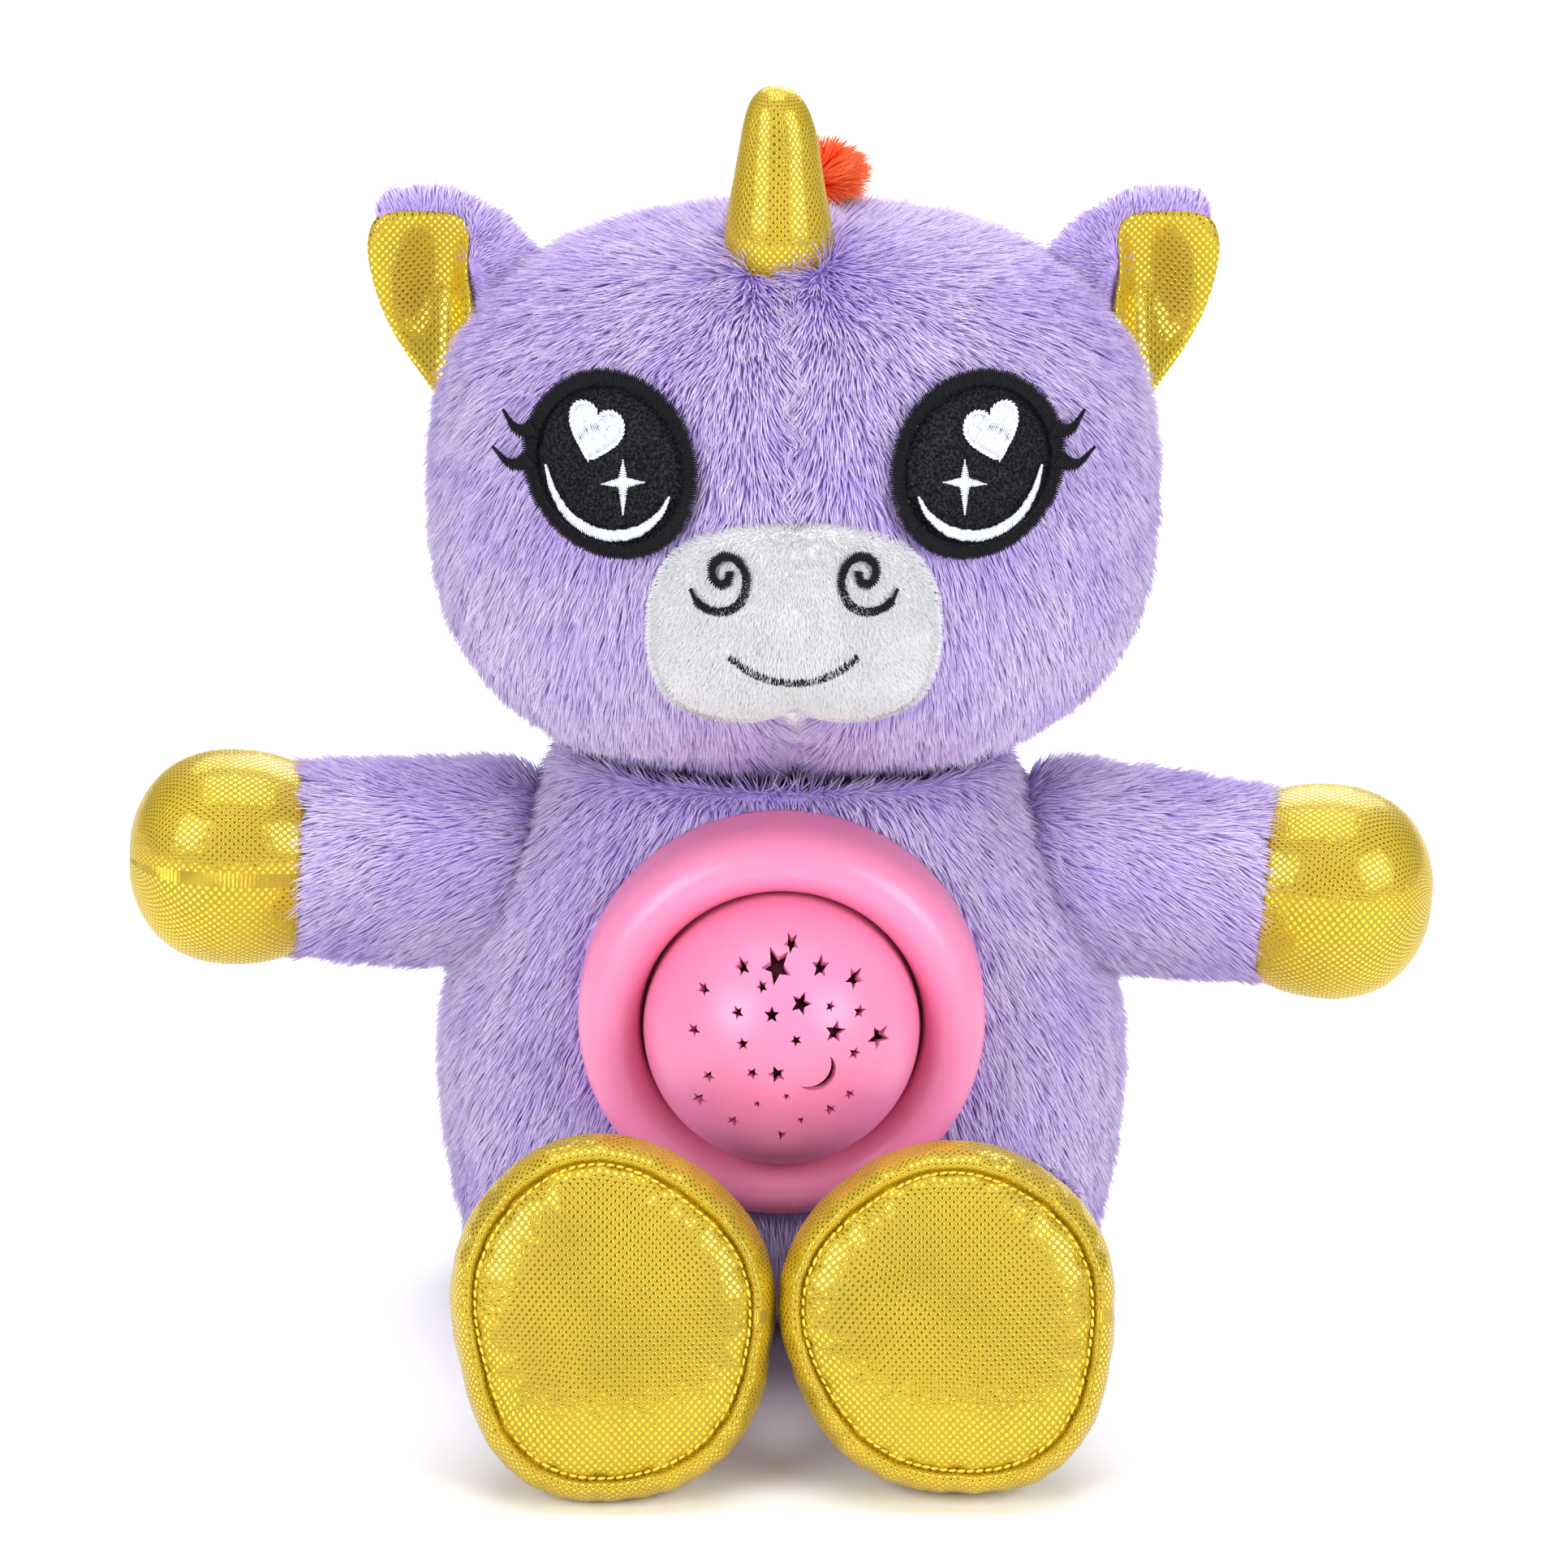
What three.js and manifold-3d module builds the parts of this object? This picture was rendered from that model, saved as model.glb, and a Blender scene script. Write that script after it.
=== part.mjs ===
// A seated plush unicorn with a star-projector dome in its belly.
// Millimetres, +Z up. The toy faces -Y and sits on z = 0; "left" is the viewer's left, -X.
import * as THREE from 'three';
import { mergeVertices } from 'three/addons/utils/BufferGeometryUtils.js';
import Module from 'manifold-3d';

const wasm = await Module();
wasm.setup();

// ---------------------------------------------------------------- driving dimensions
const GAP = 0.35;                 // clearance between neighbouring solids
const PILE_WALL = 2.6;            // fur fabric with its backing
const FOIL_WALL = 1.2;            // foil-dotted knit
const MIDDLE_Y = -28.1;           // middle of the toy from soles to tail tip

const HEAD = { x: 2.5, z: 179, halfWidth: 78, halfDepth: 62, halfHeight: 62 };
const HEAD_CLEAR = 3.2;           // the head rolls on its seat inside this space
const SWING_CLEAR = 0.9;          // space round a limb as it swings
const BALL_SIDES = 12;
const SNOUT = { rise: 13, spread: 0.44, drop: 0.15 };
const MUZZLE = { z: 169, halfWidth: 29, halfHeight: 22, thick: 1.3 };
const EYE = { x: 36.6, z: 197.5, halfWidth: 18, halfHeight: 20.5, thick: 1 };
const HORN = { lean: -3, y: -18, base: 237, height: 32.4, radius: 11 };
const MANE = { halfWidth: 9, thick: 7, sunk: 2, start: -4, end: 118 };
const EAR = { flex: 15, backThick: 6.5, liningThick: 1.8 };

const ARM = { x: 62, z: 95, length: 79, cuff: 42, down: 35, up: 15, forward: 6 };
const ARM_LIFT = { left: 3.5, right: -4.5 };      // how each arm happens to rest
const LEG = { hip: [45, -32, 22.5], ankle: [34.3, -98, 31.5], radius: 22, down: 45, up: 5 };
const FOOT = { tilt: 17, upper: 19, pad: 6, halfWidth: 33, halfHeight: 36.2 };

const PROJECTOR = { z: 77.6, face: -46, front: -60, ringRadius: 42.7, mouth: 29.5 };
const DOME = { radius: 28.9, wall: 1.8, liner: 1.2, centre: -54.1, flange: 32, back: -48.1 };
const CUP = { radius: 34.5, front: -45.6, back: -18, wall: 1.8, ledge: -36.5 };
const NECK = { radius: 16, bottom: 94.5, top: 130 };
const SCREWS = { circle: 38.4, radius: 1.3, start: -42.6, tip: -52 };

const BOX = { width: 54, depth: 15, height: 48, z: 62, back: 49.4 };
const CELL = { length: 44.5, radius: 5.25, pitch: 11.6 };
const DOOR = { width: 50.4, height: 37.4, thick: 1.9, slide: 8 };
const FLAP = { halfWidth: 29, top: 92, bottom: 28, thick: 2.4, y: 52.6 };
const TAIL = { y: 51, z: 17, length: 20, swing: 15 };

const rad = THREE.MathUtils.degToRad;
const vec = (x, y, z) => new THREE.Vector3(x, y, z);
const X = vec(1, 0, 0);
const Y = vec(0, 1, 0);
const Z = vec(0, 0, 1);
const SIDES = [['left', -1], ['right', 1]];

// ---------------------------------------------------------------- finishes
const finish = (color, roughness, metalness = 0) =>
  new THREE.MeshStandardMaterial({ color, roughness, metalness });
const lavenderFur = finish(0xb89ae0, 0.95);
const whitePlush = finish(0xe2e0e6, 0.95);
const goldFoil = finish(0xe8c62c, 0.45, 0.4);
const orangePile = finish(0xf7623a, 0.95);
const blackThread = finish(0x1a1a20, 0.8);
const stuffing = finish(0xf2f0ea, 1);
const pinkPlastic = finish(0xf8a0cf, 0.35);
const clearPlastic = finish(0xf6e6f2, 0.15);
const whitePlastic = finish(0xe9e9ea, 0.5);
const boardGreen = finish(0x1f7a45, 0.5);
const steel = finish(0xb8bbc0, 0.3, 1);
const hookTape = finish(0xd8cfe6, 0.95);
const cellJacket = finish(0x3a6ea8, 0.4);
const cableRed = finish(0xc8202a, 0.5);
const cableBlack = finish(0x202022, 0.5);
const lampRed = finish(0xd83a3a, 0.2);
const lampGreen = finish(0x3ad86a, 0.2);
const lampBlue = finish(0x3a6ad8, 0.2);

// ---------------------------------------------------------------- solids
// One closed, outward-facing mesh: shared corners merged and slivers at poles dropped.
function tidy(geometry) {
  const bare = geometry.clone();
  bare.deleteAttribute('normal');
  bare.deleteAttribute('uv');
  const merged = mergeVertices(bare, 1e-4);
  const p = merged.attributes.position;
  const index = merged.index.array;
  const kept = [];
  const a = vec(0, 0, 0), b = vec(0, 0, 0), c = vec(0, 0, 0);
  let volume = 0;
  for (let i = 0; i < index.length; i += 3) {
    const [i0, i1, i2] = [index[i], index[i + 1], index[i + 2]];
    if (i0 === i1 || i1 === i2 || i2 === i0) continue;
    kept.push(i0, i1, i2);
    volume += a.fromBufferAttribute(p, i0).dot(b.fromBufferAttribute(p, i1)
      .cross(c.fromBufferAttribute(p, i2)));
  }
  if (volume < 0) kept.reverse();
  merged.setIndex(kept);
  return merged;
}

function solid(geometry) {
  const g = tidy(geometry);
  return new wasm.Manifold(new wasm.Mesh({
    numProp: 3,
    vertProperties: new Float32Array(g.attributes.position.array),
    triVerts: new Uint32Array(g.index.array),
  }));
}

function geometryOf(body) {
  const mesh = body.getMesh();
  const g = new THREE.BufferGeometry();
  g.setAttribute('position', new THREE.BufferAttribute(new Float32Array(mesh.vertProperties), 3));
  g.setIndex(Array.from(mesh.triVerts));
  return g;
}

const cut = (body, ...tools) => tools.flat().reduce((left, tool) => left.subtract(tool), body);
const join = (...bodies) => bodies.flat().reduce((sum, body) => sum.add(body));

// Closed loft through rings {c, u, v, p}: centre, two half-axes and a superellipse exponent.
function loft(rings, sides = 28) {
  const positions = [];
  const index = [];
  for (const { c, u, v, p = 2 } of rings) {
    for (let k = 0; k < sides; k += 1) {
      const t = (2 * Math.PI * k) / sides;
      const [co, si] = [Math.cos(t), Math.sin(t)];
      const ku = Math.sign(co) * Math.abs(co) ** (2 / p);
      const kv = Math.sign(si) * Math.abs(si) ** (2 / p);
      positions.push(...c.clone().addScaledVector(u, ku).addScaledVector(v, kv).toArray());
    }
  }
  for (let r = 0; r + 1 < rings.length; r += 1) {
    for (let k = 0; k < sides; k += 1) {
      const [a, b] = [r * sides + k, r * sides + ((k + 1) % sides)];
      index.push(a, b, a + sides, b, b + sides, a + sides);
    }
  }
  const caps = [[rings[0], 0, 1], [rings.at(-1), (rings.length - 1) * sides, 0]];
  for (const [ringAt, first, flip] of caps) {
    const middle = positions.length / 3;
    positions.push(...ringAt.c.toArray());
    for (let k = 0; k < sides; k += 1) {
      const [a, b] = [first + k, first + ((k + 1) % sides)];
      index.push(...(flip ? [middle, b, a] : [middle, a, b]));
    }
  }
  const g = new THREE.BufferGeometry();
  g.setAttribute('position', new THREE.Float32BufferAttribute(positions, 3));
  g.setIndex(index);
  return g;
}

// A ring across an axis, v as near to upright as the axis allows.
function ring(c, axis, a, b, p = 2) {
  const side = vec(0, 0, 0).crossVectors(axis, Math.abs(axis.z) > 0.9 ? Y : Z).normalize();
  const up = vec(0, 0, 0).crossVectors(side, axis).normalize();
  return { c, u: side.multiplyScalar(a), v: up.multiplyScalar(b), p };
}

// LatheGeometry turns round Y, which is the projector's own axis.
const turned = (profile, sides = 36) =>
  new THREE.LatheGeometry(profile.map(([r, y]) => new THREE.Vector2(r, y)), sides);

function drum(radius, y0, y1, sides = 28) {
  return turned([[0, y0], [radius, y0], [radius, y1], [0, y1]], sides);
}

// Stands a turned piece up: its Y becomes +Z.
const upright = (g) => g.rotateX(Math.PI / 2);

const box = (w, d, h, x, y, z) => new THREE.BoxGeometry(w, d, h).translate(x, y, z);

// Turns a body about a line through a point.
function turnedAbout(body, pivot, axis, degrees) {
  const m = new THREE.Matrix4().makeTranslation(pivot.x, pivot.y, pivot.z)
    .multiply(new THREE.Matrix4().makeRotationAxis(axis, rad(degrees)))
    .multiply(new THREE.Matrix4().makeTranslation(-pivot.x, -pivot.y, -pivot.z));
  return body.transform(m.toArray());
}

function swing(body, pivot, axis, from, to, steps) {
  const poses = [];
  for (let k = 0; k <= steps; k += 1) {
    poses.push(turnedAbout(body, pivot, axis, from + ((to - from) * k) / steps));
  }
  return poses;
}

// ---------------------------------------------------------------- the assembly
const unicorn = new THREE.Group();
unicorn.position.y = -MIDDLE_Y;

function piece(name, shape, material) {
  const geometry = shape instanceof THREE.BufferGeometry ? tidy(shape) : geometryOf(shape);
  const mesh = new THREE.Mesh(geometry, material);
  mesh.name = name;
  unicorn.add(mesh);
}

// ---------------------------------------------------------------- head
const headCentre = vec(HEAD.x, 0, HEAD.z);

// Distance from the head's centre to its surface: a rounded box with a soft snout.
function headReach(d) {
  const p = d.z > 0 ? 2.5 : 2.6;
  const frontal = (Math.abs(d.x / HEAD.halfWidth) ** p + Math.abs(d.z / HEAD.halfHeight) ** p) ** (2 / p);
  const body = 1 / Math.sqrt(frontal + (d.y / HEAD.halfDepth) ** 2);
  const snout = vec(0, -1, -SNOUT.drop);
  return body + SNOUT.rise * Math.exp(-((d.angleTo(snout) / SNOUT.spread) ** 2));
}

function headBody(offset, around = 24, down = 12) {
  const ball = new THREE.SphereGeometry(1, around, down).rotateX(Math.PI / 2);
  const p = ball.attributes.position;
  const d = vec(0, 0, 0);
  for (let i = 0; i < p.count; i += 1) {
    d.fromBufferAttribute(p, i).normalize();
    d.multiplyScalar(headReach(d) + offset).add(headCentre);
    p.setXYZ(i, d.x, d.y, d.z);
  }
  return solid(ball);
}

// The head's base has a round mouth where the neck seam closes it.
const neckMouth = solid(upright(drum(15, 0, 40)).translate(HEAD.x, 0, HEAD.z - 80));
piece('head_skin', cut(headBody(0), headBody(-PILE_WALL), neckMouth), lavenderFur);
piece('head_filling', headBody(-PILE_WALL - GAP), stuffing);

// Patches are slices of a slightly larger head, cut to their outline from the front.
function patch(x, z, halfWidth, halfHeight, thick) {
  const outline = new THREE.Shape().absellipse(x, z, halfWidth, halfHeight, 0, 2 * Math.PI);
  const prism = new THREE.ExtrudeGeometry(outline, { depth: 95, bevelEnabled: false, curveSegments: 7 });
  const slab = cut(headBody(GAP + thick), headBody(GAP));
  return slab.intersect(solid(upright(prism)));
}
piece('muzzle_patch', patch(HEAD.x, MUZZLE.z, MUZZLE.halfWidth, MUZZLE.halfHeight, MUZZLE.thick), whitePlush);
for (const [side, sign] of SIDES) {
  piece(`eye_patch_${side}`, patch(HEAD.x + sign * EYE.x, EYE.z, EYE.halfWidth, EYE.halfHeight, EYE.thick),
    blackThread);
}

// ---------------------------------------------------------------- horn
// A blunt cone of foil knit over stuffing; its open base follows the crown.
function hornBody(inset, start) {
  const [r, top] = [HORN.radius - inset, HORN.height - inset];
  const profile = [[0, start], [r, start], [r, 3], [r - 1.6, 11], [r - 3.8, 20], [r - 5.2, 26.5],
    [r - 7.6, top - 1], [0, top]];
  return solid(upright(turned(profile, 14)).translate(HEAD.x + HORN.lean, HORN.y, HORN.base));
}
const headClear = headBody(GAP);
piece('horn_cover', cut(hornBody(0, -6), hornBody(FOIL_WALL, -9), headClear), goldFoil);
piece('horn_filling', cut(hornBody(FOIL_WALL + GAP, -6), headClear), stuffing);

// ---------------------------------------------------------------- mane strip over crown and nape
const maneRings = [];
const MANE_STEPS = 10;
for (let k = 0; k <= MANE_STEPS; k += 1) {
  const t = rad(MANE.start + ((MANE.end - MANE.start) * k) / MANE_STEPS);
  const d = vec(0, Math.sin(t), Math.cos(t));
  const taper = k % MANE_STEPS ? 1 : 0.6;
  const c = headCentre.clone().addScaledVector(d, headReach(d) + MANE.thick / 2);
  const halfThick = (taper * MANE.thick) / 2 + MANE.sunk;
  maneRings.push({ c, u: vec(MANE.halfWidth * taper, 0, 0), v: d.multiplyScalar(halfThick) });
}
piece('mane_strip', cut(solid(loft(maneRings, 12)), headClear, hornBody(-GAP, -6)), orangePile);

// ---------------------------------------------------------------- ears
// The right ear from the front; it flexes about the line where it is sewn to the crown.
const earLow = vec(70, 4, 198);
const earHigh = vec(50, 4, 231);
function earSlab(thick, y, shrink) {
  const s = new THREE.Shape();
  s.moveTo(66, 198);
  s.lineTo(70, 196);
  s.bezierCurveTo(80, 206, 88, 214, 88.5, 229);
  s.bezierCurveTo(89, 241, 84, 245, 71, 245);
  s.bezierCurveTo(60, 245, 53, 239, 46, 231);
  const g = new THREE.ExtrudeGeometry(s, { depth: thick, bevelEnabled: false, curveSegments: 7 });
  g.translate(-70, -221, 0).scale(shrink, shrink, 1).translate(70, 221, 0);
  return solid(upright(g).translate(0, y, 0));
}
const earAxis = earHigh.clone().sub(earLow).normalize();
const earPivot = earLow.clone().add(earHigh).multiplyScalar(0.5);
const headAtOrigin = headBody(0.8).translate([-HEAD.x, 0, 0]);
const headForEars = swing(headAtOrigin, earPivot, earAxis, -EAR.flex, EAR.flex, 4);
const earPocket = earSlab(EAR.liningThick + 2 * GAP, 1 + GAP, 0.87);
const earBack = cut(earSlab(EAR.backThick, 7, 1), earPocket, headForEars);
const earLining = cut(earSlab(EAR.liningThick, 1, 0.84), headForEars);
for (const [side, sign] of SIDES) {
  const mirror = new THREE.Matrix4().makeScale(sign, 1, 1).setPosition(HEAD.x, 0, 0).toArray();
  piece(`ear_back_${side}`, earBack.transform(mirror), lavenderFur);
  piece(`ear_lining_${side}`, earLining.transform(mirror), goldFoil);
}

// ---------------------------------------------------------------- limbs: shared lofts
// Sections are [distance along the limb, half-width, half-height].
function limbRings(origin, axis, sections, inset) {
  return sections.map(([t, a, b]) =>
    ring(origin.clone().addScaledVector(axis, t), axis, Math.max(a - inset, 0.5), Math.max(b - inset, 0.5)));
}
// Half a ball that closes a limb's root round its joint.
function rootRings(origin, axis, a, b, inset) {
  return [86, 60, 35, 15].map((deg) => {
    const [si, co] = [Math.sin(rad(deg)), Math.cos(rad(deg))];
    const centre = origin.clone().addScaledVector(axis, -si * (a - inset));
    return ring(centre, axis, co * (a - inset), co * (b - inset));
  });
}
// The room a limb needs: a ball round its joint and the limb's stem at steps along its swing.
function swingRoom(pivot, limbAxis, radius, turnAxis, from, to, steps) {
  const room = radius + SWING_CLEAR;
  const ball = new THREE.SphereGeometry(room / Math.cos(Math.PI / BALL_SIDES), BALL_SIDES, BALL_SIDES / 2);
  const stemSections = [[0, room, room], [ARM.length, room, room]];
  const stem = solid(loft(limbRings(pivot, limbAxis, stemSections, 0), BALL_SIDES));
  return [solid(ball.translate(pivot.x, pivot.y, pivot.z)), ...swing(stem, pivot, turnAxis, from, to, steps)];
}
const stretched = (sections, by) =>
  sections.map(([t, a, b], k) => [k === sections.length - 1 ? t + by : t, a, b]);

// ---------------------------------------------------------------- arms
const sleeveSections = [[0, 22, 24], [20, 21.5, 23.4], [ARM.cuff, 20, 22]];
const hoofSections = [[ARM.cuff, 18, 19.5], [48, 20.4, 22], [61, 21, 22.8], [70, 18, 19.6],
  [76, 12, 13], [ARM.length, 5, 5.5]];
const armSwept = [];
for (const [side, sign] of SIDES) {
  const shoulder = vec(sign * ARM.x, 0, ARM.z);
  const [lift, forward] = [rad(ARM_LIFT[side]), rad(ARM.forward)];
  const axis = vec(sign * Math.cos(lift) * Math.cos(forward), -Math.sin(forward), Math.sin(lift)).normalize();
  const [, a0, b0] = sleeveSections[0];
  const sleeve = (inset, reach) => solid(loft([...rootRings(shoulder, axis, a0, b0, inset),
    ...limbRings(shoulder, axis, stretched(sleeveSections, reach), inset)], 14));
  const hoof = (inset, start) => solid(loft(limbRings(shoulder, axis, hoofSections.map(([t, a, b], k) =>
    [k ? t - (k > 2 ? Math.max(inset, 0) : 0) : t + start, a, b]), inset), 14));
  piece(`sleeve_${side}`, cut(sleeve(0, -GAP), sleeve(PILE_WALL, 6)), lavenderFur);
  piece(`hoof_cover_${side}`, cut(hoof(0, GAP), hoof(FOIL_WALL, -3)), goldFoil);
  piece(`arm_filling_${side}`, join(sleeve(PILE_WALL + GAP, -GAP), hoof(FOIL_WALL + GAP, -2)), stuffing);
  // A turn about +Y lowers the right arm and lifts the left one.
  armSwept.push(...swingRoom(shoulder, axis, b0, Y, -sign * ARM.up, sign * ARM.down, 3));
}

// ---------------------------------------------------------------- legs and feet
const ringRoom = solid(drum(PROJECTOR.ringRadius + 0.6, PROJECTOR.front - 0.6, -30)
  .translate(0, 0, PROJECTOR.z));
const soleNormal = vec(0, -Math.cos(rad(FOOT.tilt)), Math.sin(rad(FOOT.tilt)));
const legSwept = [];
for (const [side, sign] of SIDES) {
  const hip = vec(sign * LEG.hip[0], LEG.hip[1], LEG.hip[2]);
  const ankle = vec(sign * LEG.ankle[0], LEG.ankle[1], LEG.ankle[2]);
  const axis = ankle.clone().sub(hip).normalize();
  const length = ankle.distanceTo(hip);
  const shin = [[0, LEG.radius, LEG.radius], [length * 0.45, 21.3, 21.3], [length, 25.5, 26]];
  const upper = [[GAP, 25, 26], [4, 29.5, 31.5], [9, 32.6, 35.6], [12, FOOT.halfWidth, FOOT.halfHeight],
    [FOOT.upper, 30.4, 33]];
  const pad = [[FOOT.upper + GAP, 30, 32.6], [FOOT.upper + 2.5, 27.5, 30], [FOOT.upper + 5, 19, 21],
    [FOOT.upper + FOOT.pad, 8, 9]];
  const leg = (inset, reach) => solid(loft([...rootRings(hip, axis, LEG.radius, LEG.radius, inset),
    ...limbRings(hip, axis, stretched(shin, reach), inset)], 14));
  const foot = (inset, reach) =>
    solid(loft(limbRings(ankle, soleNormal, stretched(upper, reach), inset), 18));
  const ringRooms = swing(ringRoom, hip, X, 0, LEG.up, 1);
  const beyond = (t) => solid(loft(limbRings(ankle, soleNormal, [[t, 60, 60], [t + 40, 60, 60]], 0), 8));
  const footHollow = join(foot(FOIL_WALL, 4), solid(loft(limbRings(ankle, soleNormal,
    [[-2, 25, 26], [1, 25, 26]], FOIL_WALL), 18)));
  piece(`leg_cover_${side}`, cut(leg(0, 12), leg(PILE_WALL, 14), beyond(0), ringRooms), lavenderFur);
  piece(`foot_upper_${side}`, cut(foot(0, 0), footHollow), goldFoil);
  piece(`sole_${side}`, loft(limbRings(ankle, soleNormal, pad, 0), 18), goldFoil);
  const wad = join(cut(leg(PILE_WALL + GAP, 12), beyond(1.5)), foot(FOIL_WALL + GAP, -GAP));
  piece(`leg_filling_${side}`, wad, stuffing);
  legSwept.push(...swingRoom(hip, axis, LEG.radius + 1, X, -LEG.up, LEG.down, 3));
}

// ---------------------------------------------------------------- torso
// Pear-shaped sections: height, half-width, half-depth, middle y.
const torsoSections = [[0, 62, 34, 10], [4, 67, 41, 5], [10, 69.5, 46, 2], [18, 71.5, 49.5, 0.5],
  [32, 74, 51.5, 0], [50, 75.5, 52, 0], [66, 74, 51, 0], [82, 68, 49.5, 0], [96, 62, 47, 0],
  [110, 55, 43, 0], [121, 48, 38, 0]];
function torsoBody(inset) {
  const last = torsoSections.length - 1;
  return solid(loft(torsoSections.map(([z, a, b, y], k) => ({
    c: vec(0, y, z + (k === 0 ? inset : 0) - (k === last ? inset : 0)),
    u: vec(a - inset, 0, 0),
    v: vec(0, b - inset, 0),
    p: 2.4,
  })), 24));
}
// The seat under the head clears it at every turn and nod.
const headSeat = headBody(HEAD_CLEAR, 20, 12);
const neckColumn = (gap) => solid(upright(drum(NECK.radius + gap, NECK.bottom - gap, NECK.top))
  .translate(HEAD.x, 0, 0));
const atProjector = (g) => g.translate(0, 0, PROJECTOR.z);
const ringSeat = solid(atProjector(drum(PROJECTOR.ringRadius + 0.6, -80, PROJECTOR.face + GAP)));
const clampPocket = solid(atProjector(drum(41.5, -60, -41.4)));
const cupPocket = solid(atProjector(drum(CUP.radius + GAP, -60, CUP.back + GAP)));
const boxPocket = solid(box(BOX.width + 2 * GAP, 40, BOX.height + 2 * GAP, 0,
  BOX.back - BOX.depth - GAP + 20, BOX.z));
const flapSeat = solid(box(2 * FLAP.halfWidth + 4, 20, FLAP.top - FLAP.bottom + 6, 0, 60,
  (FLAP.top + FLAP.bottom) / 2));
const leadChannel = solid(box(18, BOX.back - BOX.depth - CUP.back + 4, 20, 0,
  (BOX.back - BOX.depth + CUP.back) / 2, 68));
const openings = [headSeat, ...armSwept, ...legSwept, neckColumn(GAP), ringSeat, clampPocket, cupPocket,
  boxPocket, flapSeat];

piece('torso_skin', cut(torsoBody(0), torsoBody(PILE_WALL), openings), lavenderFur);
piece('torso_filling', cut(torsoBody(PILE_WALL + GAP), openings, leadChannel), stuffing);
piece('neck_filling', cut(neckColumn(0), headSeat), stuffing);

// ---------------------------------------------------------------- tail
const tailPivot = vec(0, TAIL.y, TAIL.z);
const tailSections = [[-3, 3.5, 3.5], [1, 5, 5], [6, 9.5, 9], [12, 10, 9.5], [17, 7, 6.5],
  [TAIL.length, 2, 2]];
const torsoForTail = swing(torsoBody(-GAP), tailPivot, X, -TAIL.swing, TAIL.swing, 4);
piece('tail', cut(solid(loft(limbRings(tailPivot, Y, tailSections, 0), 16)), torsoForTail), orangePile);

// ---------------------------------------------------------------- projector: turned round its own axis
const arc = (radius, centre, from, to, steps) => Array.from({ length: steps + 1 }, (_, k) => {
  const t = rad(from + ((to - from) * k) / steps);
  return [k === steps && to === 90 ? 0 : radius * Math.cos(t), centre - radius * Math.sin(t)];
});
const closedTurn = (profile, sides) => solid(atProjector(turned([...profile, profile[0]], sides)));
const bezel = closedTurn([[33, PROJECTOR.face], [42.7, PROJECTOR.face], [42.7, -52], [41.6, -56.4],
  [38.6, -59.3], [35.8, PROJECTOR.front], [32.8, -59.2], [30.4, -56.6], [PROJECTOR.mouth, -53],
  [PROJECTOR.mouth, -50.5], [33, -50.5]], 28);
const screwPlaces = [45, 135, 225, 315].map((deg) =>
  [SCREWS.circle * Math.cos(rad(deg)), PROJECTOR.z + SCREWS.circle * Math.sin(rad(deg))]);
const screwHoles = screwPlaces.map(([x, z]) =>
  solid(drum(SCREWS.radius + GAP, SCREWS.tip - GAP, -40, 10).translate(x, 0, z)));
piece('bezel_ring', cut(bezel, screwHoles), pinkPlastic);
piece('clamp_ring', cut(closedTurn([[35, PROJECTOR.face + GAP], [41, PROJECTOR.face + GAP], [41, -43.4],
  [35, -43.4]], 20), screwHoles), whitePlastic);
screwPlaces.forEach(([x, z], k) => {
  const [r, y0, y1] = [SCREWS.radius, SCREWS.tip, SCREWS.start];
  const screw = turned([[0, y0], [r, y0 + 1], [r, y1 - 0.4], [2.4, y1 - 0.4], [2.2, y1 + 0.8],
    [0, y1 + 0.8]], 10);
  piece(`housing_screw_${k + 1}`, screw.translate(x, 0, z), steel);
});

// Star cut-outs on the dome as [x, z, outer radius], seen from the front, and one crescent moon.
const STARS = [[2, 24, 1.7], [-1, 20.5, 3.3], [-8, 20, 1.7], [8, 20, 2], [15, 17, 2], [-4, 17, 1.3],
  [-16, 15, 1.4], [4, 14, 2.3], [10, 13, 1.1], [16, 11, 1.4], [-9, 12, 1.4], [-2, 12, 1.7], [-18, 7, 1.4],
  [11, 8, 2.3], [20, 5, 2.5], [-8, 6, 1.4], [3, 7, 1.3], [15, 3, 1.4], [-15, -2, 1.4], [-6, 0, 1.4],
  [-1, 0, 2], [-17, -8, 1.7], [1, -5, 0.9], [-5, -7, 1], [14, -6, 1.3], [10, -9, 1.5], [-10, -12, 1.6],
  [4, -11, 1.1], [0, -15, 1.5]];
const STAR_WAIST = 0.45;
function cutter(shape, x, z) {
  const depth = -Math.sqrt(DOME.radius ** 2 - x * x - z * z);
  const outward = vec(x, depth, z).normalize();
  const g = new THREE.ExtrudeGeometry(shape, { depth: 9, bevelEnabled: false });
  const turn = new THREE.Matrix4().lookAt(outward, vec(0, 0, 0), Z);
  return solid(g.applyMatrix4(turn).translate(outward.x * 24, outward.y * 24, outward.z * 24)
    .translate(0, DOME.centre, PROJECTOR.z));
}
function starShape(radius) {
  const points = Array.from({ length: 10 }, (_, k) => {
    const r = k % 2 ? radius * STAR_WAIST : radius;
    return new THREE.Vector2(r * Math.sin((k * Math.PI) / 5), r * Math.cos((k * Math.PI) / 5));
  });
  return new THREE.Shape(points);
}
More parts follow.
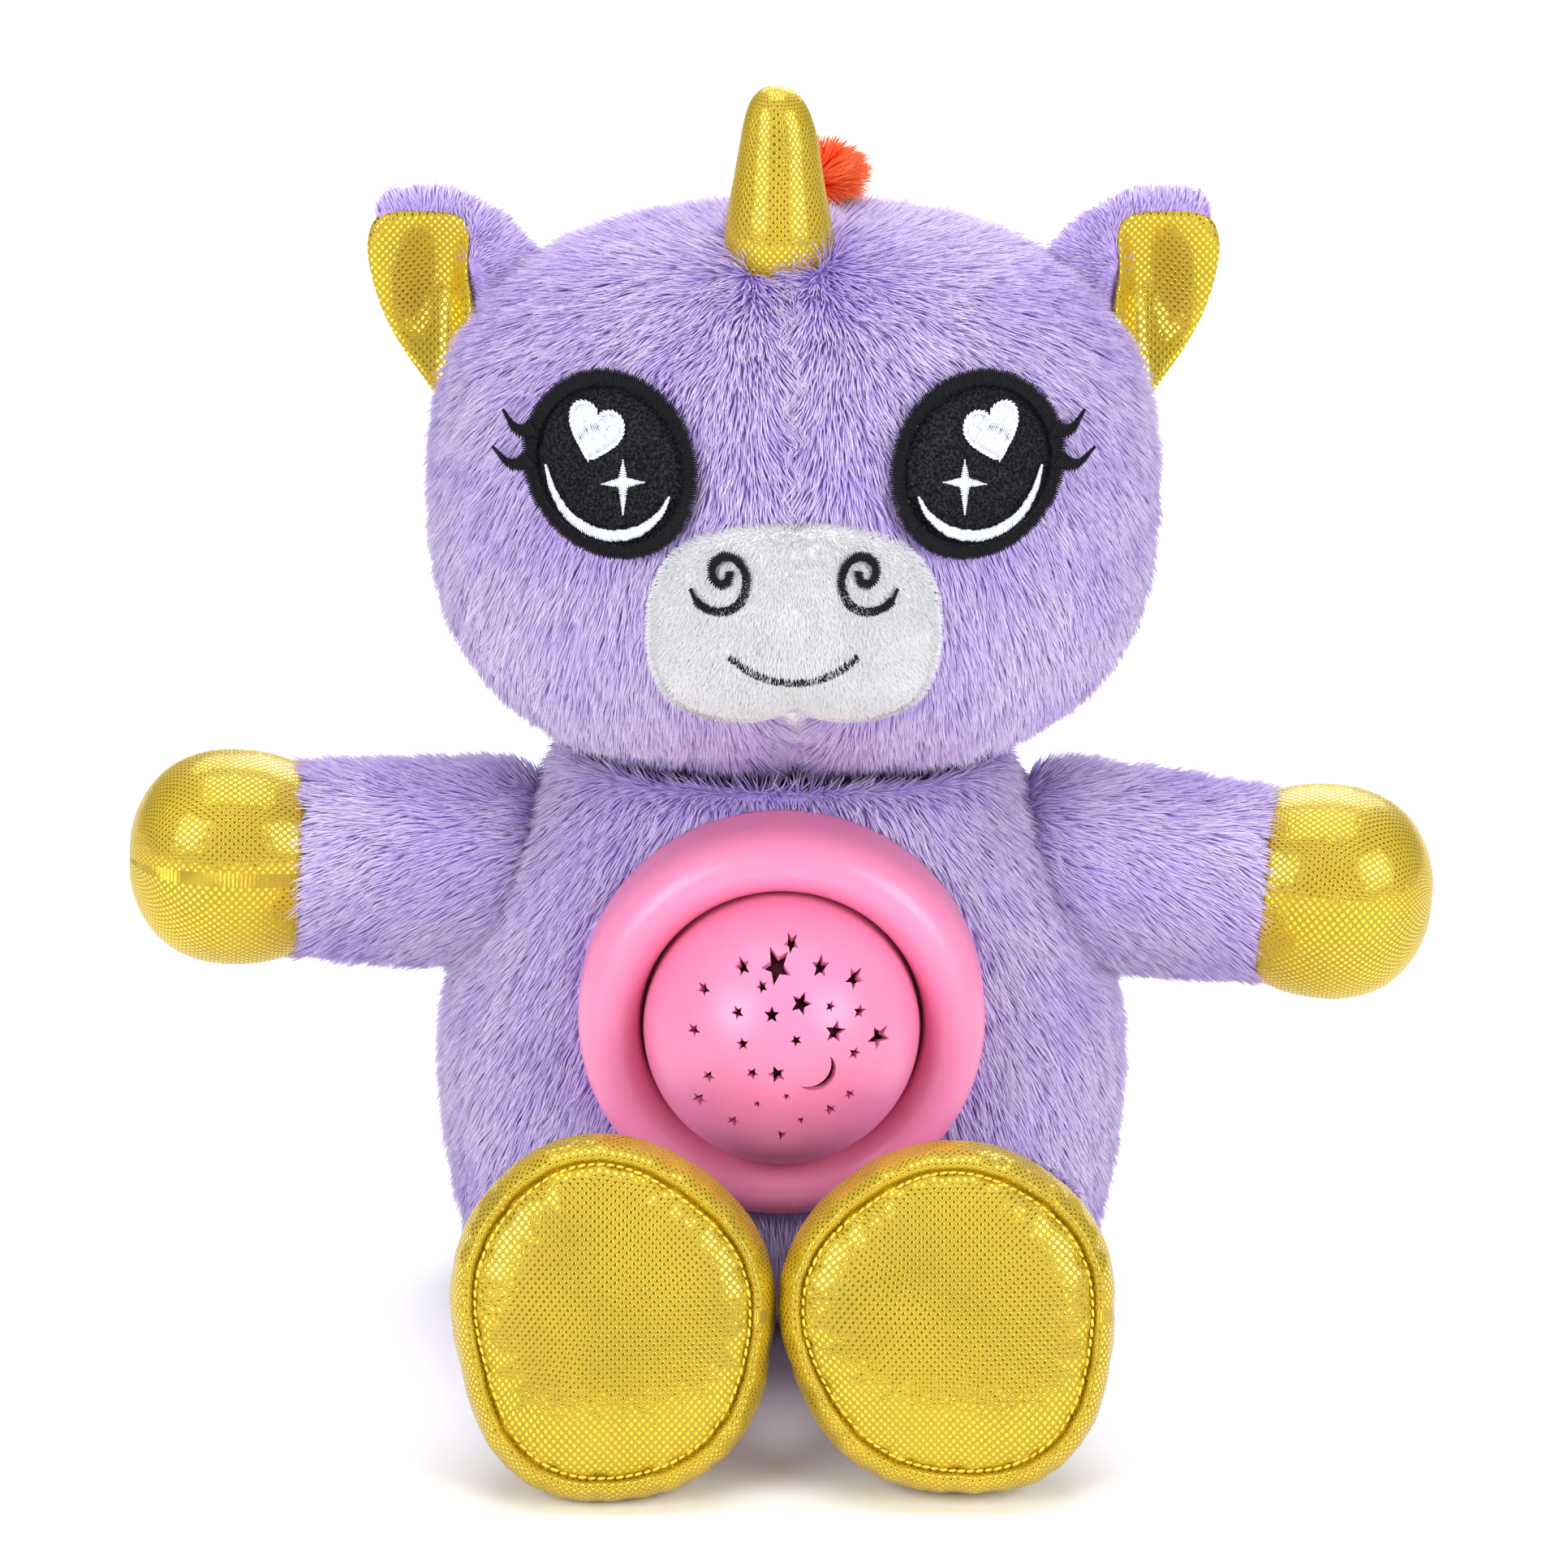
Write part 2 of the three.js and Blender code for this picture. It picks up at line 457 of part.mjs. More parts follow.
// A crescent is a disc less a smaller disc set off towards the lean direction.
function crescentShape(radius, bite, offset, lean) {
  const reach = (radius ** 2 - bite ** 2 + offset ** 2) / (2 * offset);
  const outer = Math.acos(reach / radius);
  const inner = Math.acos((reach - offset) / bite);
  const steps = 6;
  const points = [];
  for (let k = 0; k <= steps; k += 1) {
    const t = lean + outer + ((2 * Math.PI - 2 * outer) * k) / steps;
    points.push(new THREE.Vector2(radius * Math.cos(t), radius * Math.sin(t)));
  }
  for (let k = 1; k < steps; k += 1) {
    const t = lean - inner - ((2 * Math.PI - 2 * inner) * k) / steps;
    points.push(new THREE.Vector2(offset * Math.cos(lean) + bite * Math.cos(t),
      offset * Math.sin(lean) + bite * Math.sin(t)));
  }
  return new THREE.Shape(points);
}
const MOON = { x: 6.9, z: 0.3, radius: 4.3, bite: 4.7, offset: 2, lean: 135 };
const moonShape = crescentShape(MOON.radius, MOON.bite, MOON.offset, rad(MOON.lean));
const domeProfile = [...arc(DOME.radius, DOME.centre, 0, 90, 7).reverse(), [DOME.radius, -50.1],
  [DOME.flange, -50.1], [DOME.flange, DOME.back], [DOME.radius - DOME.wall, DOME.back],
  ...arc(DOME.radius - DOME.wall, DOME.centre, 0, 90, 6)];
const dome = solid(atProjector(turned(domeProfile, 24)));
// Stars under this size pierce only the moulding's skin, so the solid leaves them closed.
const SMALLEST_STAR = 1.65;
const cutOuts = STARS.filter(([, , r]) => r >= SMALLEST_STAR).map(([x, z, r]) => cutter(starShape(r), x, z));
cutOuts.push(cutter(moonShape, MOON.x, MOON.z));
piece('projector_dome', cut(dome, cutOuts), pinkPlastic);
const linerOuter = DOME.radius - DOME.wall - GAP;
const linerInner = linerOuter - DOME.liner;
piece('clear_liner', atProjector(turned([...arc(linerOuter, DOME.centre, 0, 90, 6).reverse(),
  [linerOuter, DOME.back], [linerInner, DOME.back], ...arc(linerInner, DOME.centre, 0, 90, 6)], 16)),
clearPlastic);

const cupInner = CUP.radius - CUP.wall;
piece('housing_cup', closedTurn([[cupInner, CUP.front], [CUP.radius, CUP.front], [CUP.radius, CUP.back],
  [0.01, CUP.back], [0.01, CUP.back - CUP.wall], [23, CUP.back - CUP.wall], [23, -24], [26.5, -24],
  [26.5, CUP.ledge], [cupInner, CUP.ledge]], 24), whitePlastic);
piece('led_board', atProjector(drum(26.1, -24.4 - 1.6, -24.4, 32)), boardGreen);

function lamp(name, degrees, material) {
  const [x, z] = [9 * Math.cos(rad(degrees)), 9 * Math.sin(rad(degrees))];
  const g = turned([[0, -26 - GAP], [2.9, -26 - GAP], [2.9, -27.4], [2.5, -27.4], [2.5, -31],
    [1.7, -33], [0, -33.6]].reverse(), 12);
  piece(name, g.translate(x, 0, PROJECTOR.z + z), material);
}
lamp('led_red', 90, lampRed);
lamp('led_green', 210, lampGreen);
lamp('led_blue', 330, lampBlue);

// The pressed dome's flange reaches this switch on the cup's ledge.
piece('push_switch', box(4, 8.2, 4, 0, CUP.ledge - GAP - 4.1, PROJECTOR.z + 29.6), blackThread);

class Coil extends THREE.Curve {
  constructor(radius, length, turns) {
    super();
    Object.assign(this, { radius, length, turns });
  }

  getPoint(t) {
    const a = 2 * Math.PI * this.turns * t;
    return vec(this.radius * Math.cos(a), this.length * t, this.radius * Math.sin(a));
  }
}
function tube(curve, radius, sides, steps) {
  const section = new THREE.Shape().absarc(0, 0, radius, 0, 2 * Math.PI);
  const points = section.getPoints(sides).slice(0, -1);
  return new THREE.ExtrudeGeometry(new THREE.Shape(points.slice(0, sides)), {
    extrudePath: curve, steps, bevelEnabled: false,
  });
}
const springLength = CUP.ledge - GAP - (DOME.back + GAP) - 0.8;
[30, 150, 270].forEach((deg, k) => {
  const coil = tube(new Coil(1.6, -springLength, 4), 0.3, 4, 28);
  const at = rad(deg);
  piece(`dome_spring_${k + 1}`, coil.translate(29.8 * Math.cos(at), CUP.ledge - GAP - 0.4,
    PROJECTOR.z + 29.8 * Math.sin(at)), steel);
});

// ---------------------------------------------------------------- battery box in the back
const cavityZ = BOX.z - 4.4;                        // the cells sit low, the door's landing is above
const cavityY = BOX.back - DOOR.thick - GAP - 5.9;
const shellOfBox = box(BOX.width, BOX.depth, BOX.height, 0, BOX.back - BOX.depth / 2, BOX.z);
const cavity = box(50.4, 12.2, 36, 0, cavityY, cavityZ);
const doorRecess = box(DOOR.width + 2 * GAP, 6, DOOR.height + DOOR.slide + 3 * GAP, 0,
  BOX.back - DOOR.thick - GAP + 3, cavityZ + DOOR.slide / 2);
const leadPorts = [-6, 6].map((x) => solid(box(3, 8, 3, x, BOX.back - BOX.depth, 66)));
piece('battery_box', cut(solid(shellOfBox), solid(cavity), solid(doorRecess), leadPorts), whitePlastic);
const doorY = BOX.back - DOOR.thick / 2;
const screwAt = [0, cavityZ - DOOR.height / 2 + 4];
const doorHole = solid(drum(1.5, doorY - 3, doorY + 3, 12).translate(screwAt[0], 0, screwAt[1]));
piece('battery_door', cut(solid(box(DOOR.width, DOOR.thick, DOOR.height, 0, doorY, cavityZ)), doorHole),
  whitePlastic);
const doorScrew = turned([[0, doorY - 0.8], [1.1, doorY - 0.8], [1.1, BOX.back + GAP], [2.6, BOX.back + GAP],
  [2.4, BOX.back + 0.9], [0, BOX.back + 0.9]], 12);
piece('battery_door_screw', doorScrew.translate(screwAt[0], 0, screwAt[1]), steel);
for (const k of [-1, 0, 1]) {
  const cell = new THREE.CylinderGeometry(CELL.radius, CELL.radius, CELL.length, 18).rotateZ(Math.PI / 2);
  piece(`battery_cell_${k + 2}`, cell.translate(0, cavityY - 0.2, cavityZ + k * CELL.pitch), cellJacket);
}
for (const [side, sign] of SIDES) {
  piece(`contact_plate_${side}`, box(0.5, 10, 33, sign * 24.5, cavityY, cavityZ), steel);
}

// ---------------------------------------------------------------- leads between cells and lamps
function lead(name, x, material) {
  const path = new THREE.CatmullRomCurve3([vec(x, BOX.back - BOX.depth + 1, 66), vec(x, 26, 66),
    vec(x * 0.9, 8, 70), vec(x * 0.8, -6, 71), vec(x * 0.8, CUP.back + 0.6, 71)]);
  piece(name, tube(path, 0.8, 8, 12), material);
}
lead('lead_red', -6, cableRed);
lead('lead_black', 6, cableBlack);

// ---------------------------------------------------------------- flap over the battery door
const flapMiddle = (FLAP.top + FLAP.bottom) / 2;
piece('back_flap', box(2 * FLAP.halfWidth, FLAP.thick, FLAP.top - FLAP.bottom, 0, FLAP.y + FLAP.thick / 2,
  flapMiddle), lavenderFur);
piece('flap_loop_strip', box(44, 0.8, 7, 0, 50.75, FLAP.bottom + 4.5), hookTape);
piece('flap_hook_strip', box(44, 0.8, 7, 0, 51.85, FLAP.bottom + 4.5), hookTape);

export default unicorn;
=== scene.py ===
# %% [markdown]
# # A plush unicorn with a star lamp in its belly
#
# The real toy is sewn from long lavender plush and stuffed. Its hooves, soles, horn and ears are cut
# from a knit printed with gold foil dots, its eyes and smile are embroidered, and a pink star lamp is
# clamped into its belly. Blender gives that cloth, fur, thread and plastic to a frame of plain solids,
# which already holds the right sizes and the joints. This lesson makes one piece after another, and
# each piece says which solid it stands for and which body carries it.

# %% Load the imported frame
import math

import bmesh
import bpy
import numpy as np
from mathutils import Matrix, Vector
from mathutils.geometry import delaunay_2d_cdt


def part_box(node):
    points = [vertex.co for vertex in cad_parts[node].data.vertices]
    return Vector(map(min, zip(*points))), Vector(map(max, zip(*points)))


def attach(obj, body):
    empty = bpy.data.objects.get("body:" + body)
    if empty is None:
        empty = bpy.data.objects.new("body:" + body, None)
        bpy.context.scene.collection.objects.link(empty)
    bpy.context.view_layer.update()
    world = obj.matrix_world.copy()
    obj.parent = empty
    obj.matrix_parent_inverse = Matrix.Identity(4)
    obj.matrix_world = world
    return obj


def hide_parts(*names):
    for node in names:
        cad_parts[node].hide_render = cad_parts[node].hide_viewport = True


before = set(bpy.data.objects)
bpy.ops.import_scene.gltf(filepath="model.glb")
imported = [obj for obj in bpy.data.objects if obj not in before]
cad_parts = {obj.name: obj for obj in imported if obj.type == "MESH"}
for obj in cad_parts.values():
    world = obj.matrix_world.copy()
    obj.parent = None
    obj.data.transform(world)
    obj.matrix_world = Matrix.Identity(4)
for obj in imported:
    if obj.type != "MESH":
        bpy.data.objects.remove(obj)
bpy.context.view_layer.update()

# %% [markdown]
# ## Sizes
#
# A toymaker works in millimetres from the middle of the toy, and Blender works in metres from the
# frame's origin. The head's solid gives the head's size and tells where the toy's middle lies, so all
# other places can be written as plain millimetres from there and moved once, in one function.

# %% Millimetres from the toy's middle
MM = 0.001
head_low, head_high = (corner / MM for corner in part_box("head_skin"))
HEAD_WIDE = (head_high.x - head_low.x) / 2
HEAD_TALL = (head_high.z - head_low.z) / 2
HEAD_DEEP = HEAD_TALL                # it is as deep behind its middle as it is tall above it
MIDDLE = np.array([0.0, head_high.y - HEAD_DEEP, 0.0])
HEAD = np.array([(head_low.x + head_high.x) / 2, 0.0, (head_low.z + head_high.z) / 2])
LEFT_RIGHT = (("left", -1), ("right", 1))


def row(points):
    """Points in millimetres from the toy's middle, as metres in the frame."""
    return (np.asarray(points, float) + MIDDLE) * MM


def unit(vectors):
    """Vectors of length one, along the last axis."""
    vectors = np.asarray(vectors, float)
    length = np.linalg.norm(vectors, axis=-1, keepdims=True)
    return vectors / np.maximum(length, 1e-9)


def hump(distance, width):
    """A smooth bump: one at no distance, almost nothing past twice the width."""
    return np.exp(-((distance / width) ** 2))


print("head", round(HEAD_WIDE * 2), "x", round(HEAD_TALL * 2), "mm, middle at", MIDDLE.round(1))

# %% [markdown]
# ## The studio
#
# Gold foil only looks like foil when it has something bright and something dark to mirror. Two large
# soft boxes stand in front, left and right, a third hangs over the toy, and the world between them
# stays dim. The floor is one wide pale sheet that throws light back up under the chin. A long lens from
# a little above keeps the toy free of distortion.

# %% Camera
AIM = row([0.5, 0.0, 113.0])
DISTANCE = 1.25
ELEVATION = math.radians(18)
camera_data = bpy.data.cameras.new("camera")
camera_data.lens = 132.8
camera = bpy.data.objects.new("camera", camera_data)
bpy.context.scene.collection.objects.link(camera)
away = Vector((0, -math.cos(ELEVATION), math.sin(ELEVATION)))
camera.location = Vector(AIM) + away * DISTANCE
camera.rotation_euler = away.to_track_quat("Z", "Y").to_euler()
bpy.context.scene.camera = camera


# %% Lights and floor
def soft_box(name, place, aim, size, watts, colour=(1, 1, 1)):
    """A square area light at a place, turned towards a point; both in metres from the toy's middle."""
    data = bpy.data.lights.new(name, "AREA")
    data.size = size
    data.energy = watts
    data.color = colour
    lamp = bpy.data.objects.new(name, data)
    bpy.context.scene.collection.objects.link(lamp)
    lamp.location = Vector(place) + Vector(row([0, 0, 0]))
    lamp.rotation_euler = (Vector(place) - Vector(aim)).to_track_quat("Z", "Y").to_euler()


TOY_HEART = (0, 0, 0.12)
soft_box("left_box", (-0.95, -1.05, 0.75), TOY_HEART, 0.75, 16)
soft_box("right_box", (1.0, -0.95, 0.7), TOY_HEART, 0.75, 15)
soft_box("top_box", (0, 0.05, 1.5), TOY_HEART, 1.1, 15)
soft_box("back_box", (0.3, 1.3, 0.9), TOY_HEART, 0.9, 12)
soft_box("floor_box", (0, 3.2, 2.0), (0, 3.0, 0), 2.5, 60)

world = bpy.data.worlds.new("studio")
world.use_nodes = True
world.node_tree.nodes["Background"].inputs["Color"].default_value = (0.94, 0.95, 1.0, 1)
world.node_tree.nodes["Background"].inputs["Strength"].default_value = 0.3
bpy.context.scene.world = world
bpy.context.scene.view_settings.view_transform = "Standard"

bpy.ops.mesh.primitive_plane_add(size=12, location=row([0, 0, -0.2]))
floor = bpy.context.active_object
floor.name = "floor"


# %% [markdown]
# ## Small helpers for nodes
#
# Every finish below is a node tree. Three tiny functions keep those trees short to read: one starts a
# material, one adds a node with its values, and one adds a ramp with its colours.

# %% Material helpers
def new_material(name, **plain):
    """A material with one Principled shader, whose plain sockets are set by name."""
    material = bpy.data.materials.new(name)
    material.use_nodes = True
    shader = material.node_tree.nodes["Principled BSDF"]
    for socket, value in plain.items():
        shader.inputs[socket.replace("_", " ")].default_value = value
    return material, material.node_tree, shader


def add(tree, kind, links=(), **values):
    """One node; links is {input: output socket or value}, values are the node's own settings."""
    node = tree.nodes.new(kind)
    for name, value in values.items():
        setattr(node, name, value)
    for socket, source in dict(links).items():
        if isinstance(source, bpy.types.NodeSocket):
            tree.links.new(source, node.inputs[socket])
        else:
            node.inputs[socket].default_value = source
    return node


def ramp(tree, source, stops):
    """A colour ramp over a value; stops are (position, colour)."""
    node = add(tree, "ShaderNodeValToRGB", {"Fac": source})
    while len(node.color_ramp.elements) < len(stops):
        node.color_ramp.elements.new(0.5)
    for element, (position, colour) in zip(node.color_ramp.elements, stops):
        element.position = position
        element.color = (*colour, 1)
    return node.outputs["Color"]


def bump(tree, shader, height, strength, distance):
    """Small relief on the shader's normal; distance is in millimetres."""
    node = add(tree, "ShaderNodeBump", {"Height": height, "Strength": strength, "Distance": distance * MM})
    tree.links.new(node.outputs["Normal"], shader.inputs["Normal"])


def noise(tree, size, detail=2.0, stretch=(1, 1, 1)):
    """Noise on the piece's own coordinates; size is the width of its blotches in millimetres."""
    place = add(tree, "ShaderNodeTexCoord").outputs["Object"]
    if stretch != (1, 1, 1):
        place = add(tree, "ShaderNodeMapping", {"Vector": place, "Scale": stretch}).outputs["Vector"]
    return add(tree, "ShaderNodeTexNoise", {"Vector": place, "Scale": 1 / (size * MM), "Detail": detail})


floor_material, tree, shader = new_material("pale floor", Roughness=0.7)
grain = noise(tree, 40, 3)
tree.links.new(ramp(tree, grain.outputs["Fac"], [(0.3, (0.93, 0.93, 0.935)), (0.7, (0.95, 0.95, 0.955))]),
               shader.inputs["Base Color"])
floor.data.materials.append(floor_material)

# %% [markdown]
# ## Plush
#
# The plush is a knitted backing with a pile of soft fibres. Each fibre is painted a little darker at its
# root, as painted shade deep in the pile, and paler at its tip, as painted light where the tips catch the
# lamps, and broad cloudy patches of painted shade stand for pile that was stroked different ways. The
# fibres are thin and let light through, so a solid strand shaded by its own sides looks like wire. The pile
# is shaded mostly with the cloth's direction instead: each strand carries the direction of the cloth below
# it, and the shader bends its normal that way.


# %% Pile material
def pile_material(name, root, middle, tip, cloud, softness=0.86):
    """A pile's finish from its three colours, with painted shade at the root and painted light at the tip;
    cloud is the colour of the painted shade in the brushed patches.
    """
    material, tree, shader = new_material(name, Roughness=0.9)
    shader.inputs["Specular IOR Level"].default_value = 0.0
    along = add(tree, "ShaderNodeAttribute", attribute_name="along").outputs["Fac"]
    shade = add(tree, "ShaderNodeAttribute", attribute_name="shade").outputs["Fac"]
    lift = add(tree, "ShaderNodeMath", {0: along, 1: shade}, operation="ADD").outputs["Value"]
    # Painted shade and light: the ramp darkens each strand towards its root and pales it towards its tip.
    fibre = ramp(tree, lift, [(0.1, root), (0.55, middle), (1.15 / 1.2, tip)])
    # Painted shade: broad noise patches multiply the cloud colour over the pile.
    patches = ramp(tree, noise(tree, 26, 2.5).outputs["Fac"], [(0.42, (0, 0, 0)), (0.66, (1, 1, 1))])
    amount = add(tree, "ShaderNodeMath", {0: patches, 1: 0.45}, operation="MULTIPLY").outputs["Value"]
    mix = add(tree, "ShaderNodeMix", data_type="RGBA", blend_type="MULTIPLY")
    tree.links.new(amount, mix.inputs["Factor"])
    tree.links.new(fibre, mix.inputs[6])
    mix.inputs[7].default_value = (*cloud, 1)
    tree.links.new(mix.outputs[2], shader.inputs["Base Color"])
    cloth = add(tree, "ShaderNodeAttribute", attribute_name="cloth").outputs["Vector"]
    cloth = add(tree, "ShaderNodeVectorTransform", {"Vector": cloth}, vector_type="NORMAL",
                convert_from="OBJECT", convert_to="WORLD").outputs["Vector"]
    own = add(tree, "ShaderNodeNewGeometry").outputs["Normal"]
    facing = add(tree, "ShaderNodeVectorMath", {0: cloth, 1: own}, operation="DOT_PRODUCT").outputs["Value"]
    share = add(tree, "ShaderNodeMapRange", {"Value": facing, "From Min": -0.5, "From Max": 0.15,
                                             "To Min": 0.0, "To Max": softness}).outputs["Result"]
    both = add(tree, "ShaderNodeMix", {"Factor": share, 4: own, 5: cloth}, data_type="VECTOR").outputs[1]
    even = add(tree, "ShaderNodeVectorMath", {0: both}, operation="NORMALIZE").outputs["Vector"]
    tree.links.new(even, shader.inputs["Normal"])
    return material


def backing_material(name, dark, light):
    """The knitted cloth between the fibres: short combed streaks of shade."""
    material, tree, shader = new_material(name, Roughness=0.95)
    streaks = noise(tree, 1.6, 3, (1, 1, 0.25)).outputs["Fac"]
    tree.links.new(ramp(tree, streaks, [(0.35, dark), (0.65, light)]), shader.inputs["Base Color"])
    bump(tree, shader, streaks, 0.8, 0.8)
    return material


# The root colours are painted shade, the tip colours painted light, and the last colour is the painted shade
# of the brushed patches.
lavender_pile = pile_material("lavender pile", (0.41, 0.285, 0.66), (0.57, 0.455, 0.76), (0.78, 0.72, 0.84),
                              (0.74, 0.62, 0.96))
lavender_backing = backing_material("lavender backing", (0.39, 0.27, 0.66), (0.53, 0.41, 0.75))
orange_pile = pile_material("orange pile", (0.85, 0.04, 0.012), (1.0, 0.15, 0.04), (1.0, 0.36, 0.16),
                            (0.95, 0.5, 0.4), softness=0.35)
orange_backing = backing_material("orange backing", (0.7, 0.03, 0.008), (0.9, 0.08, 0.02))
white_pile = pile_material("white pile", (0.67, 0.67, 0.685), (0.76, 0.76, 0.775), (0.83, 0.83, 0.835),
                           (0.96, 0.96, 0.98))
white_backing = backing_material("white backing", (0.66, 0.66, 0.69), (0.77, 0.77, 0.80))

# %% [markdown]
# ## A brush that lays fur
#
# A hair system can't leave Blender as a mesh, so the fur is laid by Geometry Nodes. Points are
# scattered over the cloth, and each one gets a strand: a slim spike of four faces that leans over the
# cloth. Attributes on the cloth steer the brush. "comb" is the direction the pile is stroked in, "coat"
# says how thickly it grows, down to nothing under a patch, and "trim" how long it is. Noise turns
# neighbouring strands the same way, which makes the tufts and partings of real plush.


# %% The fur brush
def node_input(tree, name, kind, value=None):
    """A named input of a node group, and its identifier for the modifier."""
    socket = tree.interface.new_socket(name=name, in_out="INPUT", socket_type=kind)
    if value is not None:
        socket.default_value = value
    return socket.identifier


def fur_brush():
    """The node group, and its inputs' identifiers by name."""
    tree = bpy.data.node_groups.new("fur brush", "GeometryNodeTree")
    tree.interface.new_socket(name="Geometry", in_out="OUTPUT", socket_type="NodeSocketGeometry")
    names = {"Cloth": node_input(tree, "Cloth", "NodeSocketGeometry")}
    for name, value in (("Density", 2.7), ("Length", 5.8), ("Thickness", 0.25), ("Lift", 0.5),
                        ("Tousle", 0.45),
                        ("Zone", 0.0)):
        names[name] = node_input(tree, name, "NodeSocketFloat", value)
    names["Seed"] = node_input(tree, "Seed", "NodeSocketInt", 1)
    names["Pile"] = node_input(tree, "Pile", "NodeSocketMaterial")
    given = tree.nodes.new("NodeGroupInput").outputs

    def math_node(operation, *terms):
        return add(tree, "ShaderNodeMath", dict(enumerate(terms)), operation=operation).outputs["Value"]

    def vector_node(operation, *terms, **more):
        node = add(tree, "ShaderNodeVectorMath", {**dict(enumerate(terms)), **more}, operation=operation)
        return node.outputs["Vector"]

    def named(name, kind):
        node = add(tree, "GeometryNodeInputNamedAttribute", {"Name": name}, data_type=kind)
        return node.outputs["Attribute"]

    # One strand, standing on its root: a slim three-sided spike of four faces.
    length = math_node("MULTIPLY", given["Length"], MM)
    thick = math_node("MULTIPLY", given["Thickness"], MM)
    cone = add(tree, "GeometryNodeMeshCone", {"Vertices": 3, "Side Segments": 1, "Radius Top": 0.0,
                                              "Radius Bottom": thick, "Depth": length})
    at = add(tree, "GeometryNodeInputPosition").outputs["Position"]
    parts = add(tree, "ShaderNodeSeparateXYZ", {"Vector": at})
    along = math_node("DIVIDE", parts.outputs["Z"], length)
    strand = add(tree, "GeometryNodeStoreNamedAttribute", {"Geometry": cone.outputs["Mesh"], "Name": "along",
                                                           "Value": along}, data_type="FLOAT", domain="POINT")

    # Roots scattered over this zone of the cloth.
    in_zone = math_node("COMPARE", named("zone", "FLOAT"), given["Zone"], 0.5)
    dense = math_node("MULTIPLY", math_node("MULTIPLY", named("coat", "FLOAT"), in_zone),
                      math_node("DIVIDE", given["Density"], MM * MM))
    roots = add(tree, "GeometryNodeDistributePointsOnFaces", {"Mesh": given["Cloth"], "Density": dense,
                                                              "Seed": given["Seed"]})
    cloth_normal = roots.outputs["Normal"]
    kept = add(tree, "GeometryNodeStoreNamedAttribute", {"Geometry": roots.outputs["Points"], "Name": "cloth",
                                                         "Value": cloth_normal},
               data_type="FLOAT_VECTOR", domain="POINT")

    # The way each strand points: out of the cloth, along the comb, and a little astray in tufts.
    tufts = add(tree, "ShaderNodeTexNoise", {"Vector": at, "Scale": 1 / (5.5 * MM), "Detail": 2.0})
    tuft_turn = vector_node("SUBTRACT", tufts.outputs["Color"], (0.5, 0.5, 0.5))
    stray = add(tree, "FunctionNodeRandomValue", {0: (-1, -1, -1), 1: (1, 1, 1), "Seed": given["Seed"]},
                data_type="FLOAT_VECTOR").outputs[0]
    astray = vector_node("ADD", vector_node("SCALE", tuft_turn, Scale=2.6),
                         vector_node("SCALE", stray, Scale=0.35))
    out = vector_node("ADD", vector_node("SCALE", cloth_normal, Scale=given["Lift"]),
                      named("comb", "FLOAT_VECTOR"))
    way = vector_node("ADD", out, vector_node("SCALE", astray, Scale=given["Tousle"]))
    facing = add(tree, "FunctionNodeAxesToRotation", {"Primary Axis": way, "Secondary Axis":
                                                      vector_node("SCALE", cloth_normal, Scale=-1.0)},
                 primary_axis="Z", secondary_axis="X")
    size = add(tree, "FunctionNodeRandomValue", {2: 0.7, 3: 1.2, "Seed": 7}, data_type="FLOAT").outputs[1]
    tall = add(tree, "ShaderNodeCombineXYZ", {"X": 1.0, "Y": 1.0,
                                              "Z": math_node("MULTIPLY", size, named("trim", "FLOAT"))})
    laid = add(tree, "GeometryNodeInstanceOnPoints", {"Points": kept.outputs["Geometry"],
                                                      "Instance": strand.outputs["Geometry"],
                                                      "Rotation": facing.outputs["Rotation"],
                                                      "Scale": tall.outputs["Vector"]})
    shade = add(tree, "FunctionNodeRandomValue", {2: -0.12, 3: 0.14, "Seed": 11},
                data_type="FLOAT").outputs[1]
    shaded = add(tree, "GeometryNodeStoreNamedAttribute",
                 {"Geometry": laid.outputs["Instances"], "Name": "shade", "Value": shade},
                 data_type="FLOAT", domain="INSTANCE")
    real = add(tree, "GeometryNodeRealizeInstances", {"Geometry": shaded.outputs["Geometry"]})
    dyed = add(tree, "GeometryNodeSetMaterial", {"Geometry": real.outputs["Geometry"],
                                                 "Material": given["Pile"]})
    add(tree, "NodeGroupOutput", {"Geometry": dyed.outputs["Geometry"]})
    return tree, names


FUR, FUR_INPUTS = fur_brush()


def baked_copy(holder, name):
    """What a piece's modifiers make, as a plain mesh object of its own."""
    depsgraph = bpy.context.evaluated_depsgraph_get()
    mesh = bpy.data.meshes.new_from_object(holder.evaluated_get(depsgraph))
    mesh.name = name
    piece = bpy.data.objects.new(name, mesh)
    bpy.context.scene.collection.objects.link(piece)
    return piece


def lay_fur(cloth, name, pile, **settings):
    """Runs the fur brush over a piece of cloth and returns the fur as its own plain mesh."""
    brush = cloth.modifiers.new("fur brush", "NODES")
    brush.node_group = FUR
    for setting, value in {"Pile": pile, **settings}.items():
        brush[FUR_INPUTS[setting]] = value
    fur = baked_copy(cloth, name)
    cloth.modifiers.remove(brush)
    print(f"{name}: {len(fur.data.polygons):,} faces")
    return fur


# %% [markdown]
# ## Making cloth
#
# Most of the toy is tubes of cloth closed at both ends, so one function joins rings of points into a
# closed skin. It also writes a UV map measured in millimetres along and around the tube, because a
# printed or knitted pattern has to keep its real size.


